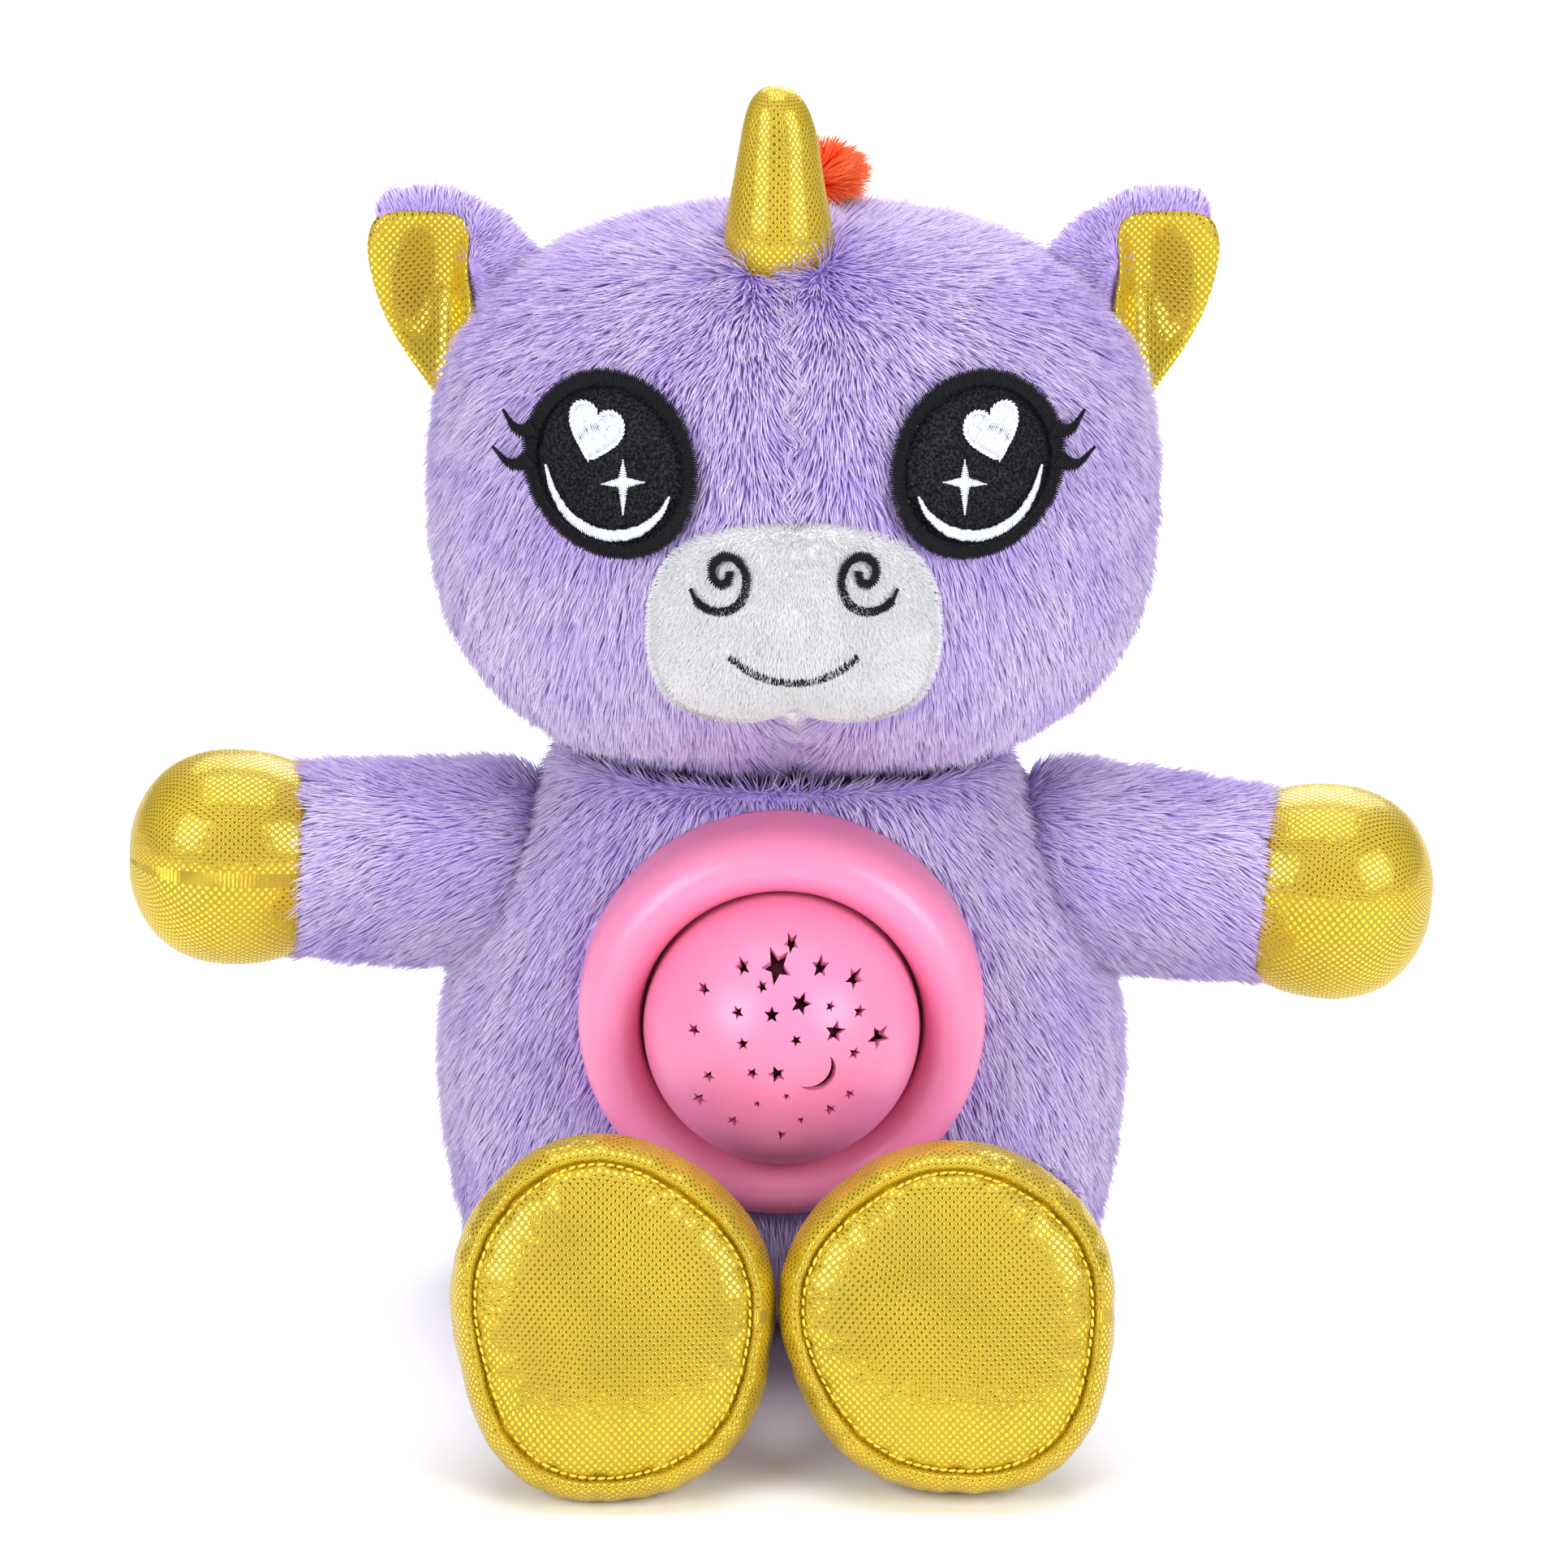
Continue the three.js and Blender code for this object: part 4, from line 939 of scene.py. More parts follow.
# %% Feet
FOOT_SECTIONS = [[-3, 20, 21], [0.4, 25, 26.2], [4, 29.6, 31.6], [8, 32.0, 34.8], [12, 33.0, 36.0],
                 [16, 33.0, 36.0], [19, 32.2, 35.1], [21.2, 30.9, 33.7], [21.9, 29.9, 32.6],
                 [21.3, 29.0, 31.6], [19.4, 28.4, 30.9]]
SOLE_SECTIONS = [[16.5, 27.0, 29.4], [18.4, 28.6, 31.0], [19.6, 28.6, 31.1], [21.2, 27.6, 30.0],
                 [22.8, 25.0, 27.2],
                 [24.0, 20.2, 22.0], [24.8, 14, 15.4], [25.2, 7, 7.7], [25.3, 1.2, 1.3]]
SEAM_OUT = 19.6                      # how far out along the sole's axis the seam lies
GATHERS = 38


def unevenness(turn, sign):
    """How far a hand-cut sole strays from a true oval, in millimetres."""
    return 0.9 * np.sin(2 * turn + sign) + 0.7 * np.sin(3 * turn + 1.3 * sign) + 0.5 * np.sin(5 * turn + 0.4)


for side, sign in LEFT_RIGHT:
    hip, ankle, way = leg_line(sign)
    wide_way, tall_way = across(SOLE_WAY)
    for part, sections in (("foot", FOOT_SECTIONS), ("sole", SOLE_SECTIONS)):
        rings = tube_rings(ankle, SOLE_WAY, curve_through(sections, 3), 96, power=2.12)
        piece = skin_over(f"{part}_{side}", rings, gold_foil)
        spots = places(piece)
        rel = spots - ankle
        side_on, up_on, out_on = rel @ wide_way, rel @ tall_way, rel @ SOLE_WAY
        turn = np.arctan2(up_on, side_on)
        near_seam = hump(out_on - SEAM_OUT, 2.8) * (np.hypot(side_on, up_on) > 15)
        folds = pucker(turn, GATHERS, 5 + sign) * near_seam
        uneven = unevenness(turn, sign)
        swell = np.outer(np.cos(turn), wide_way) + np.outer(np.sin(turn), tall_way)
        far = np.clip(np.hypot(side_on, up_on) / 28, 0, 1)
        spots += swell * (0.5 * folds + uneven * far * np.clip((out_on - 4) / 10, 0, 1))[:, None]
        spots += np.outer(0.7 * folds, SOLE_WAY)
        move_places(piece, spots)
        if part == "sole":
            layer = piece.data.uv_layers["weave"]
            corners = np.empty(len(piece.data.loops), int)
            piece.data.loops.foreach_get("vertex_index", corners)
            flat = np.stack([side_on + 100, up_on + 100], -1)
            layer.data.foreach_set("uv", flat[corners].ravel())
            pillow(piece, np.where(out_on < 19.7, 1.0, 0.0), 0.0, stiff=10)
        else:
            pillow(piece, np.where((out_on > 18.8) | (out_on < 1), 1.0, 0.0), 0.02)
        replaced = [f"foot_upper_{side}"] if part == "foot" else [f"sole_{side}"]
        belongs(piece, f"leg_{side}", replaced)
        blown_up.append(piece)

# %% Blow them up
stuff(blown_up, most=2.5)

# %% [markdown]
# ## Thread
#
# All the embroidery is satin stitch: short shiny threads laid side by side across a line, or in rows
# across a shape. A stitch is one small spindle, and Geometry Nodes lay one at each point of a helper
# mesh. Three attributes on the helper say how a stitch lies: "across" is its direction, "reach" its
# length and "out" the way out of the cloth. Python only works out where the stitches go.


# %% Thread materials
def thread_material(name, dark, light, gloss=0.42):
    """Twisted embroidery thread: fine shiny ply along each stitch."""
    material, tree, shader = new_material(name, Roughness=gloss,
                                          Specular_IOR_Level=0.5 if gloss < 0.5 else 0.12)
    ply = noise(tree, 0.45, 2).outputs["Fac"]
    tree.links.new(ramp(tree, ply, [(0.3, dark), (0.7, light)]), shader.inputs["Base Color"])
    bump(tree, shader, ply, 0.4, 0.1)
    return material


black_thread = thread_material("black thread", (0.002, 0.002, 0.003), (0.009, 0.009, 0.012), 0.55)
silver_thread = thread_material("silver thread", (0.50, 0.53, 0.66), (0.86, 0.88, 0.97))
gold_thread = thread_material("gold thread", (0.62, 0.40, 0.01), (0.95, 0.72, 0.08))


# %% The stitch layer
def stitch_layer():
    """Lays a spindle at each point of a helper mesh, along its "across" attribute."""
    tree = bpy.data.node_groups.new("stitch layer", "GeometryNodeTree")
    tree.interface.new_socket(name="Geometry", in_out="OUTPUT", socket_type="NodeSocketGeometry")
    names = {"Guide": node_input(tree, "Guide", "NodeSocketGeometry"),
             "Thickness": node_input(tree, "Thickness", "NodeSocketFloat", 0.5),
             "Seed": node_input(tree, "Seed", "NodeSocketInt", 1),
             "Thread": node_input(tree, "Thread", "NodeSocketMaterial")}
    given = tree.nodes.new("NodeGroupInput").outputs

    def named(name, kind):
        node = add(tree, "GeometryNodeInputNamedAttribute", {"Name": name}, data_type=kind)
        return node.outputs["Attribute"]

    spindle = add(tree, "GeometryNodeMeshUVSphere", {"Segments": 6, "Rings": 5, "Radius": 0.5 * MM})
    smooth = add(tree, "GeometryNodeSetShadeSmooth", {"Geometry": spindle.outputs["Mesh"]})
    loose = add(tree, "FunctionNodeRandomValue", {2: 0.9, 3: 1.12, "Seed": given["Seed"]},
                data_type="FLOAT").outputs[1]
    thick = add(tree, "ShaderNodeMath", {0: given["Thickness"], 1: loose},
                operation="MULTIPLY").outputs["Value"]
    long = add(tree, "ShaderNodeMath", {0: named("reach", "FLOAT"), 1: loose},
               operation="MULTIPLY").outputs["Value"]
    size = add(tree, "ShaderNodeCombineXYZ", {"X": thick, "Y": thick, "Z": long}).outputs["Vector"]
    facing = add(tree, "FunctionNodeAxesToRotation", {"Primary Axis": named("across", "FLOAT_VECTOR"),
                                                      "Secondary Axis": named("out", "FLOAT_VECTOR")},
                 primary_axis="Z", secondary_axis="X").outputs["Rotation"]
    points = add(tree, "GeometryNodeMeshToPoints", {"Mesh": given["Guide"]})
    laid = add(tree, "GeometryNodeInstanceOnPoints", {"Points": points.outputs["Points"],
                                                      "Instance": smooth.outputs["Geometry"],
                                                      "Rotation": facing, "Scale": size})
    real = add(tree, "GeometryNodeRealizeInstances", {"Geometry": laid.outputs["Instances"]})
    dyed = add(tree, "GeometryNodeSetMaterial",
               {"Geometry": real.outputs["Geometry"], "Material": given["Thread"]})
    add(tree, "NodeGroupOutput", {"Geometry": dyed.outputs["Geometry"]})
    return tree, names


STITCH, STITCH_INPUTS = stitch_layer()


def lay_stitches(name, rows, thread, thickness):
    """One piece of embroidery from rows of (point, across, out, reach), each an array for many stitches."""
    points, across_way, out, reach = (np.concatenate(part) for part in zip(*rows))
    guide = bpy.data.meshes.new(f"{name}_guide")
    guide.from_pydata(row(points).tolist(), [], [])
    sideways = guide.attributes.new("across", "FLOAT_VECTOR", "POINT")
    sideways.data.foreach_set("vector", unit(across_way).ravel())
    guide.attributes.new("out", "FLOAT_VECTOR", "POINT").data.foreach_set("vector", unit(out).ravel())
    guide.attributes.new("reach", "FLOAT", "POINT").data.foreach_set("value", reach.copy())
    holder = bpy.data.objects.new(f"{name}_guide", guide)
    bpy.context.scene.collection.objects.link(holder)
    layer = holder.modifiers.new("stitches", "NODES")
    layer.node_group = STITCH
    layer[STITCH_INPUTS["Thickness"]] = thickness
    layer[STITCH_INPUTS["Thread"]] = thread
    embroidery = baked_copy(holder, name)
    bpy.data.objects.remove(holder)
    print(f"{name}: {len(points)} stitches")
    return embroidery


# %% Lines on the face
def even_line(keys, pitch, closed=False):
    """Points a pitch apart along a smooth flat line through keys, and the line's direction there."""
    keys = np.asarray(keys, float)
    if closed:
        keys = np.vstack([keys[-2:], keys, keys[:3]])
        fine = curve_through(keys, 24)[2 * 24:-2 * 24]
    else:
        fine = curve_through(keys, 24)
    length = np.concatenate([[0], np.cumsum(np.linalg.norm(np.diff(fine, axis=0), axis=1))])
    count = max(2, int(round(length[-1] / pitch)))
    at = (np.arange(count) + 0.5) / count * length[-1] if closed else np.linspace(0, length[-1], count)
    line = np.stack([np.interp(at, length, fine[:, k]) for k in (0, 1)], -1)
    ahead = unit(np.gradient(line, axis=0))
    return line, ahead, at / length[-1]


def satin(keys, width, pitch, lift, closed=False, slant=0.0):
    """Satin stitches across a line on the face; width may be a function of the way along it."""
    line, ahead, part = even_line(keys, pitch, closed)
    beside = np.stack([-ahead[:, 1], ahead[:, 0]], -1)
    reach = np.array([width(p) for p in part]) if callable(width) else np.full(len(line), float(width))
    half = (beside + slant * ahead) * (reach / 2)[:, None]
    a = on_face(line[:, 0] - half[:, 0], line[:, 1] - half[:, 1], lift)
    b = on_face(line[:, 0] + half[:, 0], line[:, 1] + half[:, 1], lift)
    middle = on_face(line[:, 0], line[:, 1], lift)
    return middle, b - a, out_of_face(middle), np.linalg.norm(b - a, axis=1)


def mirrored(rows, sign):
    """Rows of stitches for one side of the face; they are worked out for the right side."""
    flip = np.array([sign, 1, 1])
    return [((points - HEAD) * flip + HEAD, across_way * flip, out * flip, reach)
            for points, across_way, out, reach in rows]


# %% [markdown]
# ## Patches for the muzzle and the eyes
#
# The muzzle is a piece of short white plush let into the face: broad at the cheeks, with two soft lobes
# and a notch where the chin seam starts. Each eye is a round of black felt. A patch is a closed skin:
# rings from its middle to its outline, laid on the face from the front, with a top that rounds over at
# the edge and an underside that stays in the fur. Both outlines are a few points and a smooth curve.


# %% Patch cloth
def patch(name, outline, thick, sunk, material, rings_in=9):
    """A thin pillow on the face inside an outline of flat points; sunk is how deep its edge lies."""
    outline = np.asarray(outline)
    middle = outline.mean(0)
    loops = []
    for part in np.linspace(0.06, 1, rings_in):
        flat = middle + (outline - middle) * part
        loops.append(on_face(flat[:, 0], flat[:, 1], thick * (1 - part ** 4) - sunk * part ** 7))
    for part in (0.9, 0.5, 0.1):
        flat = middle + (outline - middle) * part
        loops.append(on_face(flat[:, 0], flat[:, 1], -sunk - 0.6))
    return skin_over(name, np.array(loops), material)


MUZZLE_HALF = [[0, 10.8], [12, 9.7], [22.5, 5.0], [28.2, -3.5], [29.6, -14], [28.6, -23.5], [24.5, -31],
               [15.5, -34.2], [6.5, -33.0], [0, -29.8]]
MUZZLE_LIFT = 2.4
muzzle_line = MUZZLE_HALF + [[-x, z] for x, z in MUZZLE_HALF[-2:0:-1]]
muzzle_outline = even_line(muzzle_line, 1.3, closed=True)[0]
muzzle = patch("muzzle_cloth", muzzle_outline, MUZZLE_LIFT, 1.4, white_backing, rings_in=12)
spots = places(muzzle)
rel = spots - HEAD
groom(muzzle, rel * [0.02, 0, 0] + [0, 0, -0.8],
      np.where(np.einsum("ij,ij->i", out_of_face(spots), rel) > 0, 1.0, 0.0))
belongs(muzzle, "head", ["muzzle_patch"])
fuzz = lay_fur(muzzle, "muzzle_fur", white_pile, Density=9.0, Length=1.3, Thickness=0.14, Lift=1.1,
               Tousle=0.35,
               Seed=51)
belongs(fuzz, "head")

felt, tree, shader = new_material("black felt", Roughness=0.95, Specular_IOR_Level=0.1)
fleck = noise(tree, 0.55, 4).outputs["Fac"]
tree.links.new(ramp(tree, fleck, [(0.42, (0.003, 0.003, 0.004)), (0.72, (0.03, 0.03, 0.036))]),
               shader.inputs["Base Color"])
bump(tree, shader, fleck, 0.7, 0.25)

# %% [markdown]
# ## Eyes, nostrils and smile
#
# A wide satin border runs round each felt patch. On the felt sit a heart, a four-pointed sparkle and a
# long thin crescent, all in silver thread, and two lashes curl up at the outer edge. The nostrils are
# spirals with a tail, and the smile is one shallow arc. The right side is worked out and the left one
# is its mirror image.

# %% Eye drawings
EYE_LIFT = 1.0
turns = np.radians(np.arange(0, 360, 30))
eye_circle = EYE + EYE_ROUND * np.stack([np.cos(turns), np.sin(turns)], -1)
HEART_MIDDLE = np.array([40.4, 25.4])
HEART_HALF = [[0, -5.4], [3.3, -2.4], [5.3, 0.9], [4.8, 3.6], [2.8, 4.6], [0.8, 3.8], [0, 2.3]]
HEART_TILT = math.radians(13)


def heart_outline():
    """The heart's outline, tilted, round its own middle."""
    half = curve_through(HEART_HALF, 5)
    flat = np.vstack([half, half[-2:0:-1] * [-1, 1]])
    turn = np.array([[math.cos(HEART_TILT), math.sin(HEART_TILT)],
                     [-math.sin(HEART_TILT), math.cos(HEART_TILT)]])
    return flat @ turn + HEART_MIDDLE


def fill_rows(outline, slant_degrees, pitch, lift, longest=5.0):
    """Rows of stitches across a closed flat outline, broken where a row is too long for one stitch."""
    turn = math.radians(slant_degrees)
    ahead = np.array([math.cos(turn), math.sin(turn)])
    aside = np.array([-ahead[1], ahead[0]])
    u, v = outline @ ahead, outline @ aside
    middles, spans = [], []
    for k, level in enumerate(np.arange(v.min() + pitch / 2, v.max(), pitch)):
        nxt = np.roll(np.arange(len(u)), -1)
        hits = [u[i] + (level - v[i]) / (v[j] - v[i]) * (u[j] - u[i]) for i, j in zip(range(len(u)), nxt)
                if (v[i] > level) != (v[j] > level)]
        for low, high in zip(sorted(hits)[::2], sorted(hits)[1::2]):
            pieces = max(1, round((high - low) / longest + (k % 2) * 0.5))
            edges = np.linspace(low, high, pieces + 1)
            for a, b in zip(edges[:-1], edges[1:]):
                middles.append(ahead * (a + b) / 2 + aside * level)
                spans.append(b - a + 0.6)
    middles, spans = np.array(middles), np.array(spans)
    centre = on_face(middles[:, 0], middles[:, 1], lift)
    end = on_face(middles[:, 0] + ahead[0], middles[:, 1] + ahead[1], lift)
    stretch = np.linalg.norm(end - centre, axis=1)
    return centre, end - centre, out_of_face(centre), spans * stretch


CRESCENT = [[50.6, 17.4], [48.9, 12.3], [45.2, 7.6], [38.9, 5.4], [32.2, 6.9], [27.3, 10.9], [25.2, 14.6]]
SPARKLE = np.array([34.6, 16.4])
LASHES = (([53.4, 24.2], [56.6, 23.2], [59.6, 26.4]), ([54.2, 18.0], [57.8, 16.2], [61.8, 18.8]))
silver_rows = [fill_rows(heart_outline(), 62, 0.42, EYE_LIFT + 0.25),
               satin(heart_outline()[::3], 0.8, 0.8, EYE_LIFT + 0.35, closed=True, slant=2.5),
               satin(CRESCENT, lambda p: 0.5 + 2.0 * math.sin(math.pi * p) ** 0.8, 0.4,
                     EYE_LIFT + 0.25, slant=0.4)]
for tip in ((0, 4.2), (0, -6.2), (-4.3, 0.5), (4.3, -0.9)):
    spike = SPARKLE + np.array(tip)
    silver_rows.append(satin([SPARKLE, (SPARKLE + spike) / 2, spike],
                             lambda p: 2.2 * (1 - p) ** 1.1 + 0.3, 0.4,
                             EYE_LIFT + 0.3))
black_rows = [satin(eye_circle, 3.3, 0.42, EYE_LIFT + 0.2, closed=True, slant=0.15)]
for lash in LASHES:
    black_rows.append(satin(lash, lambda p: 3.0 * (1 - p) ** 0.9 + 0.7, 0.38, 1.6, slant=0.3))

# %% Nose and mouth drawings
NOSTRIL = [[20.8, -2.2], [19.2, -4.9], [15.2, -6.0], [11.2, -4.1], [9.5, 0.6], [10.9, 4.2], [13.8, 5.2],
           [16.3, 3.4],
           [16.3, 0.6], [14.6, -0.5], [13.2, 0.6], [13.0, 2.2]]
SMILE = [[-12.8, -15.6], [-9.2, -18.5], [-4.5, -20.5], [0, -21.0], [4.5, -20.5], [9.2, -18.5], [12.8, -15.6]]
muzzle_rows = [satin(NOSTRIL, lambda p: 2.0 if p > 0.06 else 1.0, 0.4, MUZZLE_LIFT + 0.4, slant=0.3)]
face_rows = mirrored(muzzle_rows, 1) + mirrored(muzzle_rows, -1)
face_rows.append(satin(SMILE, 1.9, 0.4, MUZZLE_LIFT + 0.4, slant=0.25))
belongs(lay_stitches("nose_and_smile", face_rows, black_thread, 0.54), "head")

for side, sign in LEFT_RIGHT:
    eye_outline = EYE + (EYE_ROUND - 0.6) * np.stack([np.cos(np.linspace(0, 2 * np.pi, 73)[:-1]),
                                                      np.sin(np.linspace(0, 2 * np.pi, 73)[:-1])], -1)
    eye = patch(f"eye_felt_{side}", eye_outline * [sign, 1], EYE_LIFT, 1.2, felt)
    belongs(eye, "head", [f"eye_patch_{side}"])
    belongs(lay_stitches(f"eye_border_{side}", mirrored(black_rows, sign), black_thread, 0.56), "head")
    belongs(lay_stitches(f"eye_silver_{side}", mirrored(silver_rows, sign), silver_thread, 0.5), "head")

# %% [markdown]
# ## Horn, ears and mane
#
# The horn is a blunt cone of foil knit, a little fuller on one side, sewn to the crown. The ears are
# leaves of two layers: plush behind, foil knit in front, pressed into a cup whose plush edge rolls
# forward. The mane is a strip of orange pile that starts as a tuft beside the horn and runs down the
# nape.

# %% Horn
horn_low, horn_high = (corner / MM - Vector(MIDDLE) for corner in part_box("horn_cover"))
HORN_FOOT = np.array([(horn_low.x + horn_high.x) / 2, (horn_low.y + horn_high.y) / 2, horn_high.z - 34.5])
HORN_SECTIONS = [[-5, 10.4, 10.4], [0, 11.1, 11.1], [4, 11.2, 11.2], [9, 10.4, 10.4], [15, 9.2, 9.2],
                 [21, 8.0, 8.0], [26.5, 6.9, 6.9], [30.5, 5.6, 5.6], [33.2, 3.6, 3.6], [34.3, 1.2, 1.2]]
rings = tube_rings(HORN_FOOT, [0, 0, 1], curve_through(HORN_SECTIONS, 4), 56)
height = rings[:, :, 2:3] - HORN_FOOT[2]
rings[:, :, 0:1] += 0.9 * hump(height - 24, 9) * (rings[:, :, 0:1] > HORN_FOOT[0]) - 0.02 * height
horn = skin_over("horn", rings, gold_foil)
belongs(horn, "head", ["horn_cover"])

# %% Ears
EAR_LINE = [[52, 224], [58, 234], [68, 240.5], [79, 242], [86.5, 239.5], [88, 230], [86, 218], [80, 207],
            [73, 199], [69, 195], [62, 202], [56, 212]]
LINING_LINE = [[68.5, 236.3], [77, 238.3], [86, 238.0], [89.6, 232.5], [89.0, 224], [86, 214.5], [80.5, 205],
               [72.5, 196], [65.5, 203.5], [66, 212], [68.5, 224]]
EAR_HEART = np.array([76.0, 222.0])
EAR_FLARE = 0.22                      # how far the ear turns to face outwards


def ear_front(flat):
    """How far forward the ear's face lies, in millimetres, at flat points of the right ear."""
    rel = flat - EAR_HEART
    hollow = 7.0 * hump(np.hypot(rel[:, 0] + 1.5, rel[:, 1] / 1.7), 8.5)
    fold = 2.6 * hump(rel[:, 0] + 8.0 + 0.12 * rel[:, 1], 2.8)
    return fold - hollow + EAR_FLARE * rel[:, 0] * -0.35


def ear_skin(name, line, levels, material, sign):
    """A leaf from its outline; levels are (share of the outline, distance in front of the ear's face)."""
    outline = even_line(line, 1.6, closed=True)[0]
    middle = EAR_HEART
    loops = []
    for part, forward in levels:
        flat = middle + (outline - middle) * part
        loops.append(np.stack([sign * flat[:, 0] + HEAD[0], 3.2 - ear_front(flat) - forward, flat[:, 1]], -1))
    return skin_over(name, np.array(loops), material)


EAR_LEVELS = [(0.05, 0), (0.25, 0), (0.45, 0), (0.62, 0), (0.76, 0.2), (0.87, 0.6), (0.95, 0.4), (0.99, -0.8),
              (0.99, -2.4), (0.94, -4.0), (0.8, -5.2), (0.6, -6.0), (0.35, -6.4), (0.1, -6.6)]
LINING_LEVELS = [(0.05, 1.3), (0.15, 1.3), (0.25, 1.3), (0.35, 1.3), (0.45, 1.3), (0.55, 1.3),
                 (0.65, 1.3), (0.8, 1.3),
                 (0.9, 1.2), (0.97, 0.9), (1.0, -0.2), (0.95, -0.9), (0.5, -0.6), (0.1, -0.6)]
for side, sign in LEFT_RIGHT:
    ear = ear_skin(f"ear_cloth_{side}", EAR_LINE, EAR_LEVELS, lavender_backing, sign)
    lining = ear_skin(f"ear_lining_foil_{side}", LINING_LINE, LINING_LEVELS, gold_foil, sign)
    spots = places(lining)
    corners = np.empty(len(lining.data.loops), int)
    lining.data.loops.foreach_get("vertex_index", corners)
    lining.data.uv_layers["weave"].data.foreach_set("uv", spots[corners][:, [0, 2]].ravel())
    belongs(lining, f"ear_{side}", [f"ear_lining_{side}"])
    spots = places(ear)
    flat = np.stack([(spots[:, 0] - HEAD[0]) * sign, spots[:, 2]], -1)
    lining_outline = even_line(LINING_LINE, 1.6, closed=True)[0]
    turn = np.arctan2(*(flat - EAR_HEART).T)
    edge = np.interp(turn, *zip(*sorted(zip(np.arctan2(*(lining_outline - EAR_HEART).T),
                                            np.linalg.norm(lining_outline - EAR_HEART, axis=1)))))
    covered = (np.linalg.norm(flat - EAR_HEART, axis=1) < edge - 0.3) & (spots[:, 1] < 5.5 - ear_front(flat))
    rel = spots - HEAD
    inside_head = np.linalg.norm(rel, axis=1) < head_reach(unit(rel)) - 2
    at_rim = (flat[:, 0] > 80) & (flat[:, 1] < 236) | (flat[:, 1] < 210) & (flat[:, 0] > 70)
    rim_front = at_rim & (spots[:, 1] < 9.5 - ear_front(flat))
    coat = np.where(covered | inside_head | rim_front, 0.0, 1.1)
    outward = np.stack([sign * (flat[:, 0] - EAR_HEART[0]), np.full(len(flat), 6.0),
                        flat[:, 1] - EAR_HEART[1]], -1)
    groom(ear, unit(outward), coat, trim=np.where(at_rim, 0.6, 1.0))
    belongs(ear, f"ear_{side}", [f"ear_back_{side}"])
    fur = lay_fur(ear, f"ear_fur_{side}", lavender_pile, Seed=61 + sign, Length=2.8, Lift=0.35,
                  Thickness=0.24,
                  Density=3.4)
    belongs(fur, f"ear_{side}")

# %% Mane
MANE_STEPS = 26
mane_rings = []
for k in range(MANE_STEPS + 1):
    part = k / MANE_STEPS
    turn = math.radians(2 + 114 * part)
    way = np.array([0.0, math.sin(turn), math.cos(turn)])
    middle = HEAD + way * (float(head_reach(way)) + 0.6)
    grown = math.sin(math.pi * min(1, 0.12 + part * 3, 0.12 + (1 - part) * 3) / 2)
    angle = np.arange(24) * 2 * np.pi / 24
    tuft = hump(part - 0.05, 0.07)
    lean = np.array([8.0, -2.0, 5.0]) * tuft
    mane_rings.append(middle + lean + np.outer(np.cos(angle), [7.0 * grown, 0, 0])
                      + np.outer(np.sin(angle) * (3.2 + 3.4 * tuft) * grown, way))
mane = skin_over("mane_cloth", mane_rings, orange_backing)
spots = places(mane)
rel = spots - HEAD
start = hump(rel[:, 1] - 4, 12) * (rel[:, 2] > 40)
comb = np.outer(start, [0.7, -0.3, 0.5]) + np.outer(1 - start, [0, 0, 0]) + np.stack(
    [np.sign(rel[:, 0]) * 0.45 * (1 - start), 0.5 * (1 - start) * (rel[:, 2] > 0), -0.9 * (1 - start)], -1)
way_out = unit(rel * [0, 1, 1])
groom(mane, comb, np.where((way_out * rel).sum(1) > head_reach(way_out) + 0.4, 1.0, 0.0),
      trim=1 - 0.25 * start)
belongs(mane, "head", ["mane_strip"])
fur = lay_fur(mane, "mane_fur", orange_pile, Density=6.5, Length=8.5, Thickness=0.3, Lift=1.0, Tousle=0.6,
              Seed=71)
belongs(fur, "head")

# %% [markdown]
# ## Tail
#
# The tail is a small stuffed bud with the same orange pile as the mane, brushed back and down.

# %% Tail
tail_low, tail_high = (corner / MM - Vector(MIDDLE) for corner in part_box("tail"))
TAIL_FOOT = np.array([0, 51.0, (tail_low.z + tail_high.z) / 2])
TAIL_SECTIONS = [[-2, 3, 3], [1, 4.6, 4.6], [6, 8, 7.6], [11, 8.6, 8.2], [15, 6, 5.6], [17.4, 1.5, 1.5]]
tail = skin_over("tail_cloth", tube_rings(TAIL_FOOT, [0, 1, 0], curve_through(TAIL_SECTIONS, 4), 28),
                 orange_backing)
spots = places(tail)
groom(tail, [0, 1.0, -0.5], np.where(spots[:, 1] > 53, 1.0, 0.0))
belongs(tail, "tail", ["tail"])
fur = lay_fur(tail, "tail_fur", orange_pile, Density=6.5, Length=8.5, Thickness=0.3, Lift=0.9, Tousle=0.6,
              Seed=81)
keep_off_floor(fur)
belongs(fur, "tail")

# %% [markdown]
# ## The star lamp
#
# The ring and the dome are moulded in pink plastic with a satin face. The ring is turned from one
# profile. The dome is a thin half ball pierced by stars and a crescent moon, so its skin is made flat
# first: a round sheet of triangles with the holes as fixed edges, which a Delaunay triangulation fills
# evenly. The sheet is then wrapped over the ball twice, as the outside and the inside, and walls join
# the two along every hole and along the rim.

